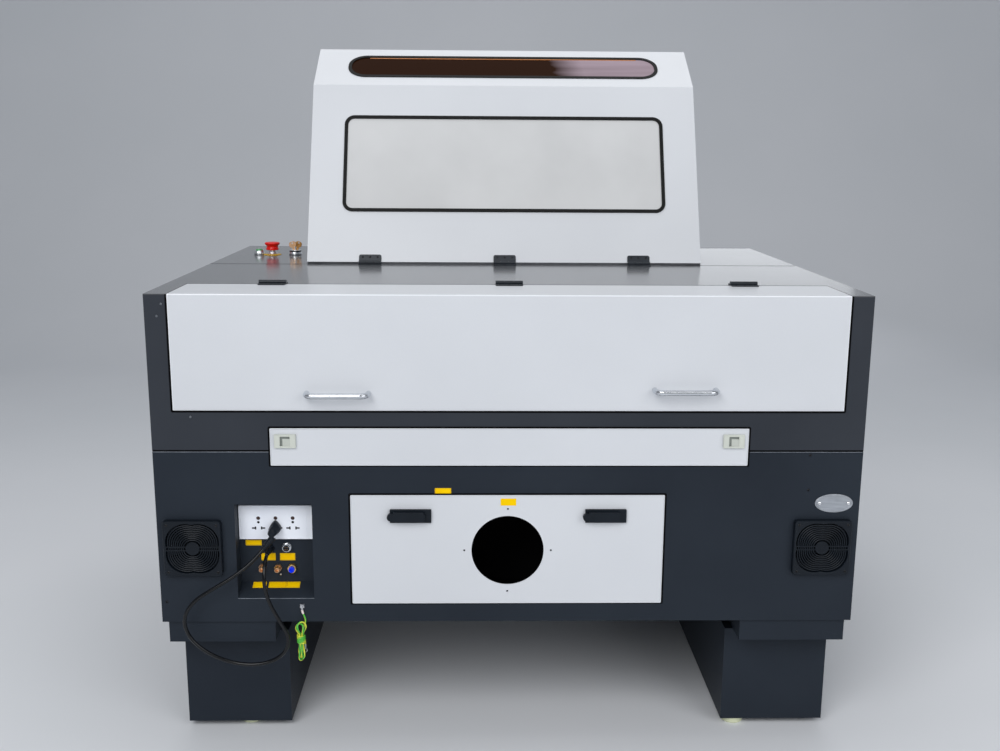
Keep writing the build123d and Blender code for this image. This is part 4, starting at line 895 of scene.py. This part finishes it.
def painted_shadows_and_highlights():
    """Painted shadow and painted highlights on the case: black strips that stand in for the shade in the gaps
    round the white doors and along two sheet edges on each side, and lighter strips that stand in for highlights
    on the edges of its sheets."""
    # painted shadow: black strips in the gaps round the doors, where only shade falls
    lines = [(rear(x, 754), rear(x, 999)) for x in (-704.3, 704.3)]
    lines.append((rear(-704, 753.9), rear(704, 753.9)))
    for door, gap in (("pass_flap", 2.6), ("service_door", 2.7)):
        (left, _, low), (right, _, high) = corners(door) + np.array([
            (-gap, 0, -2.2), (gap, 0, 1.8)])
        lines += [(rear(x, low), rear(x, high)) for x in (left, right)]
        lines += [(rear(left, z, out), rear(right, z, out))
                  for z, out in ((low, -1.4), (high, 0.2))]
    # painted highlights: lighter strips along the recess's lower edge and its inner fold
    highlight_lines = [(rear(-585, 338.6, 0.1), rear(-421, 338.6, 0.1)),
            (rear(-454, 360.3, -39.4), rear(-421, 360.3, -39.4))]
    for side in (-1, 1):
        # painted shadow: two more dark strips on each side of the case
        lines += [(rear(side * 507, 669.0, -0.6), rear(side * 749, 669.0, -0.6)),
                  (on_top(side * 508, 575.5, -1.6), on_top(side * 748, 575.5, -1.6))]
        # painted highlights: lighter strips on the seam and on an edge of the top, each side
        highlight_lines += [(rear(side * 507, SEAM_HEIGHT, 0.1), rear(side * 749, SEAM_HEIGHT, 0.1)),
                 (on_top(side * 508, 1071, -0.1), on_top(side * 748, 1071, -0.1))]
    make("case_painted_shadow_strips", merged(*[strip(*line, 2.0) for line in lines]), "painted_shadow_black")
    make("case_edge_highlight_strips", merged(*[strip(*line, 0.6, 8) for line in highlight_lines]), "case_edge_highlight")


def latch_dress():
    """Rims and finger scoop of each flap latch, with painted shade: the scoop's floor is a little darker than the
    latch, and an L of dark strips along its top and left side stands for the shade there.

    The scoop floor is a square whose depth grows in a straight line to its upper corner."""
    for body in ("left_flap_latch", "right_flap_latch"):
        place = outer_middle(body)
        trim = merged(rim((21.8, 21.8), 1, 4, place, 1.3, 0.5),
                      rim((43.2, 27.2), 2, 5, place, 1.6, 0.6))
        make(body + "_trim", trim, "cream_plastic", body)
        # painted shade: the floor is a little darker than the latch
        square = rounded_rectangle(15.3, 15.3, 0.3, 3) + (2.55, -2.55)
        depth = 1.3 + (square[:, 1:] - square[:, :1]) / 17
        floor = on_plane(square, place, X, Z) - depth * BACK
        make(body + "_floor", stacked([floor - 0.6 * BACK, floor]), "latch_floor",
             body)
        # painted shade: an L of dark strips along the top and left of the scoop
        walls = [soft_plate(rounded_rectangle(wide, tall, 0.3, 3),
                            place + dx * X + dz * Z - 2.7 * BACK, X, Z, 0.6, 0.2)
                 for wide, tall, dx, dz in ((20.4, 5.0, 0, 7.7), (5.0, 15.4, -7.7, -2.5))]
        make(body + "_scoop_shade_strips", merged(*walls), "latch_painted_shade", body)


# ---------------------------------------------------------------- lid
def pane_edges():
    """The bright cut edge of the upper pane, seen along the top of its gasket."""
    bend = LID_HINGE - LID_SKIN * LID_OUT + LID_LENGTH * LID_UP
    edge = bend + 138.5 * uphill(LID_TILT - LID_BEND)
    make("pane_amber_edge", strip(edge - 365 * X, edge + 365 * X, 1.4, 12), "amber_edge",
         "lid")


# ---------------------------------------------------------------- controls on the top
def stop_button():
    """Mushroom head with a waist between two flanges, on a bright neck."""
    head = turned(STOP, Z, [
        (8.5, 13.8), (9.0, 13.2), (15.2, 13.1), (16.8, 13.8), (17.3, 15.5), (16.8, 18.0),
        (15.6, 20.6), (15.3, 23.0), (16.3, 25.4), (18.7, 27.6), (20.3, 29.3), (20.6, 31.1),
        (20.2, 32.8), (18.5, 34.0), (14.0, 34.7), (7.0, 35.0), (1.0, 35.1)], 56)
    button = make("stop_mushroom", head, "red_plastic", "estop")
    neck = turned(STOP, Z, [(7.6, 7.0), (7.9, 7.2), (7.9, 12.4), (8.2, 13.0), (8.2, 13.5),
                            (6.0, 13.7)])
    neck = make("stop_button_neck", neck, "satin_nickel", "estop")
    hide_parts("estop_button")
    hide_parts("estop_button")
    ring = turned(STOP, Z, [(23.2, 0.1), (24.0, 0.4), (24.0, 1.2), (23.2, 1.6),
                            (15.0, 1.6)], 56)
    make("stop_button_yellow_ring", ring, "yellow_plastic")


def panel_bezels():
    """Satin nickel collar, button bezel and lock barrel, each turned with stepped flanges."""
    collar = turned(STOP, Z, [
        (14.0, 1.4), (14.3, 1.9), (14.3, 3.4), (12.8, 4.2), (12.2, 5.0), (12.0, 7.2),
        (11.2, 7.9), (8.4, 8.0), (8.3, 1.8)], 48)
    bezel = turned(START, Z, [
        (13.4, 0), (14.0, 0.8), (14.0, 5.0), (13.0, 8.0), (12.2, 11.2), (11.5, 12.1),
        (9.9, 12.2), (9.7, 4.8)], 48)
    barrel = turned(LOCK, Z, [
        (17.0, 0), (17.6, 0.8), (17.6, 3.6), (16.4, 5.0), (15.8, 6.0), (15.8, 12.8),
        (14.8, 13.9), (6.2, 14.0), (5.2, 13.2), (5.0, 10.0)], 52)
    bright = make("control_bezels_bright", merged(collar, bezel, barrel), "satin_nickel")
    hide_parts("control_bezels")
    band = turned(LOCK, Z, [(15.9, 8.8), (16.1, 9.1), (16.1, 12.1), (15.9, 12.4)], 52)
    make("lock_barrel_band", band, "black_plastic")


def start_cap():
    """Low domed green cap of the start button."""
    cap = turned(START, Z, [(9.2, 8.5), (9.4, 9.0), (9.4, 13.8), (8.8, 14.9), (6.2, 15.5),
                            (1.0, 15.8)], 44)
    cap = make("start_button_cap", cap, "green_plastic", "start")
    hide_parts("start_button")


def key_bow(foot, lean, width, height):
    """Rounded key bow with a slot in it, leaning sideways, on a flat shank."""
    across = math.cos(lean) * X - math.sin(lean) * Z
    up = math.sin(lean) * X + math.cos(lean) * Z
    outer = rounded_rectangle(width, height, 0.42 * min(width, height))
    crest = drawn_in(outer, 0.5)
    turn = np.arctan2(outer[:, 1], outer[:, 0])
    slot = np.column_stack((2.6 * np.cos(turn), 4.2 + 1.7 * np.sin(turn)))
    middle = foot + (6.0 + height / 2) * up
    bow = hollow([on_plane(flat, middle, across, up, rise) for flat, rise in (
        (outer, -0.8), (outer, 0.8), (crest, 1.2), (slot, 1.2), (slot, -1.2),
        (crest, -1.2))])
    shank = soft_plate(rounded_rectangle(7.0, 11.0, 1, 4), foot + 3.0 * up - 0.9 * BACK,
                       across, up, 1.8, 0.4)
    return merged(bow, shank)


def lock_keys():
    """The key in the lock and its twin, both on a wire ring, leaning apart."""
    foot = LOCK + 14.0 * Z
    key = make("switch_key", key_bow(foot - 3.5 * X, -0.26, 19.5, 17.0), "copper_brass",
               "key")
    turn = np.linspace(0, 2 * math.pi, 33)
    ring = pipe(foot + np.column_stack((1.0 + 6.0 * np.cos(turn), 3.0 * np.sin(turn),
                                        16.0 + 4.8 * np.sin(turn))), 0.6, 10)
    twin = key_bow(foot + (4.5, 4.0, 0.5), 0.28, 18.0, 16.5)
    pair = make("spare_key", merged(twin, ring), "brass", "key")
    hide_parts("key")
    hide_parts("key")


def keypad_dress():
    """Screen, membrane keys and a raised frame on the control panel."""
    across, up = -X, uphill(math.pi - LID_BEND)
    x, _, _ = middle_of("control_panel")
    middle = on_top(x, 1072) - 91 * up + 4 * np.cross(across, up)
    screen_middle = middle + 34 * up
    frame_rims = merged(rim((142, 142), 5, 8, middle, 4.0, 1.2, across, up),
                        rim((82, 56), 3, 8, screen_middle, 2.4, 0.9, across, up))
    make("keypad_frame", frame_rims, "black_plastic")
    screen = soft_plate(rounded_rectangle(80, 54, 2), screen_middle, across, up, 0.6, 0.3)
    make("keypad_screen", screen, "screen_glass")
    keys = [soft_plate(rounded_rectangle(16.5, 13.5, 2.5, 5),
                       middle - (14 + 20 * row) * up + (21 * column - 52.5) * across,
                       across, up, 1.1, 0.6) for row in range(3) for column in range(6)]
    make("keypad_keys", merged(*keys), "instrument_case")


cable_gland()
hose_fittings()
signal_socket()
socket_dress()
yellow_tags()
service_door_tag()
wire, wire_exit, wire_tail = earth_wire_line()
lug = earth_lugs(wire_tail)
oval_badge()
case_screws()
fan_guard_faces()
hinge_screws()
painted_shadows_and_highlights()
rolled_edges()
latch_dress()
pane_edges()
stop_button()
panel_bezels()
start_cap()
lock_keys()
keypad_dress()


# ---------------------------------------------------------------- floor, light and camera
def studio_floor():
    """A pale floor that curves up into a wall behind the object by a quarter circle."""
    near, curve_from, bend, far, high, half_width = -9.0, 3.5, 2.5, 6.0, 9.0, 10.0
    turn = np.linspace(0, math.pi / 2, 16)
    line = [(near, 0.0), *zip(curve_from + bend * np.sin(turn), bend - bend * np.cos(turn)),
            (far, high)]
    points = [(x, y, z) for y, z in line for x in (-half_width, half_width)]
    mesh = bpy.data.meshes.new("studio_floor")
    mesh.from_pydata(points, [], net(len(line), 2, False, False))
    mesh.flip_normals()
    mesh.polygons.foreach_set("use_smooth", [True] * len(mesh.polygons))
    material, shader, start = blank("studio_floor_paint")
    tone = noise(start, 0.6).ramp((0.3, (226, 229, 233)), (0.7, (232, 234, 238)))
    set_up(start, shader, {"Base Color": tone, "Roughness": noise(start, 9.0) * 0.1 + 0.6})
    mesh.materials.append(material)
    floor = bpy.data.objects.new("studio_floor", mesh)
    bpy.context.scene.collection.objects.link(floor)


def soft_light(name, place, target, size, power, colour=(1, 1, 1)):
    """A square light that the camera doesn't see, turned to its target."""
    light = bpy.data.lights.new(name, "AREA")
    light.shape, light.size, light.energy, light.color = "SQUARE", size, power, colour
    obj = bpy.data.objects.new(name, light)
    obj.location = place
    obj.visible_camera = False
    way = Vector(target) - Vector(place)
    obj.rotation_euler = way.to_track_quat("-Z", "Y").to_euler()
    bpy.context.scene.collection.objects.link(obj)


def studio_air(colour, strength):
    """Even light from all round."""
    world = bpy.data.worlds.new("studio_air")
    world.use_nodes = True
    background = world.node_tree.nodes["Background"]
    background.inputs["Color"].default_value = colour
    background.inputs["Strength"].default_value = strength
    bpy.context.scene.world = world


def set_camera(place, turn, tilt, roll, focal_pixels, width_pixels=1000):
    """Camera from its place, its turn, tilt and roll in degrees and its focal length."""
    turn, tilt, roll = (math.radians(angle) for angle in (turn, tilt, roll))
    forward = np.array([math.sin(turn) * math.cos(tilt), math.cos(turn) * math.cos(tilt),
                        -math.sin(tilt)])
    level = np.array([math.cos(turn), -math.sin(turn), 0.0])
    down = np.cross(forward, level)
    right = math.cos(roll) * level + math.sin(roll) * down
    down = math.cos(roll) * down - math.sin(roll) * level
    data = bpy.data.cameras.new("camera")
    data.sensor_width = 36.0
    data.sensor_fit = "HORIZONTAL"
    data.lens = data.sensor_width * focal_pixels / width_pixels
    camera = bpy.data.objects.new("camera", data)
    axes = Matrix((right, -down, -forward)).transposed().to_4x4()
    camera.matrix_world = Matrix.Translation(place) @ axes
    bpy.context.scene.collection.objects.link(camera)
    bpy.context.scene.camera = camera


bpy.context.scene.view_settings.view_transform = "Standard"
studio_floor()
set_camera((-0.07036, -2.82529, 1.30001), 1.2292, 11.8736, -0.3614, 1096.1)
studio_air((0.86, 0.9, 0.96, 1), 0.3)
soft_light("key_light", (-1.6, -4.2, 3.6), (0, -0.3, 0.7), 3.0, 125)
soft_light("fill_light", (2.6, -3.6, 2.4), (0, -0.3, 0.7), 3.0, 55)
soft_light("top_light", (0, 0.6, 4.2), (0, 0, 0.8), 3.2, 50)
soft_light("wall_glow", (1.9, 4.6, 1.2), (0.6, -0.2, 1.0), 1.15, 3.6, (0.93, 0.96, 1.0))
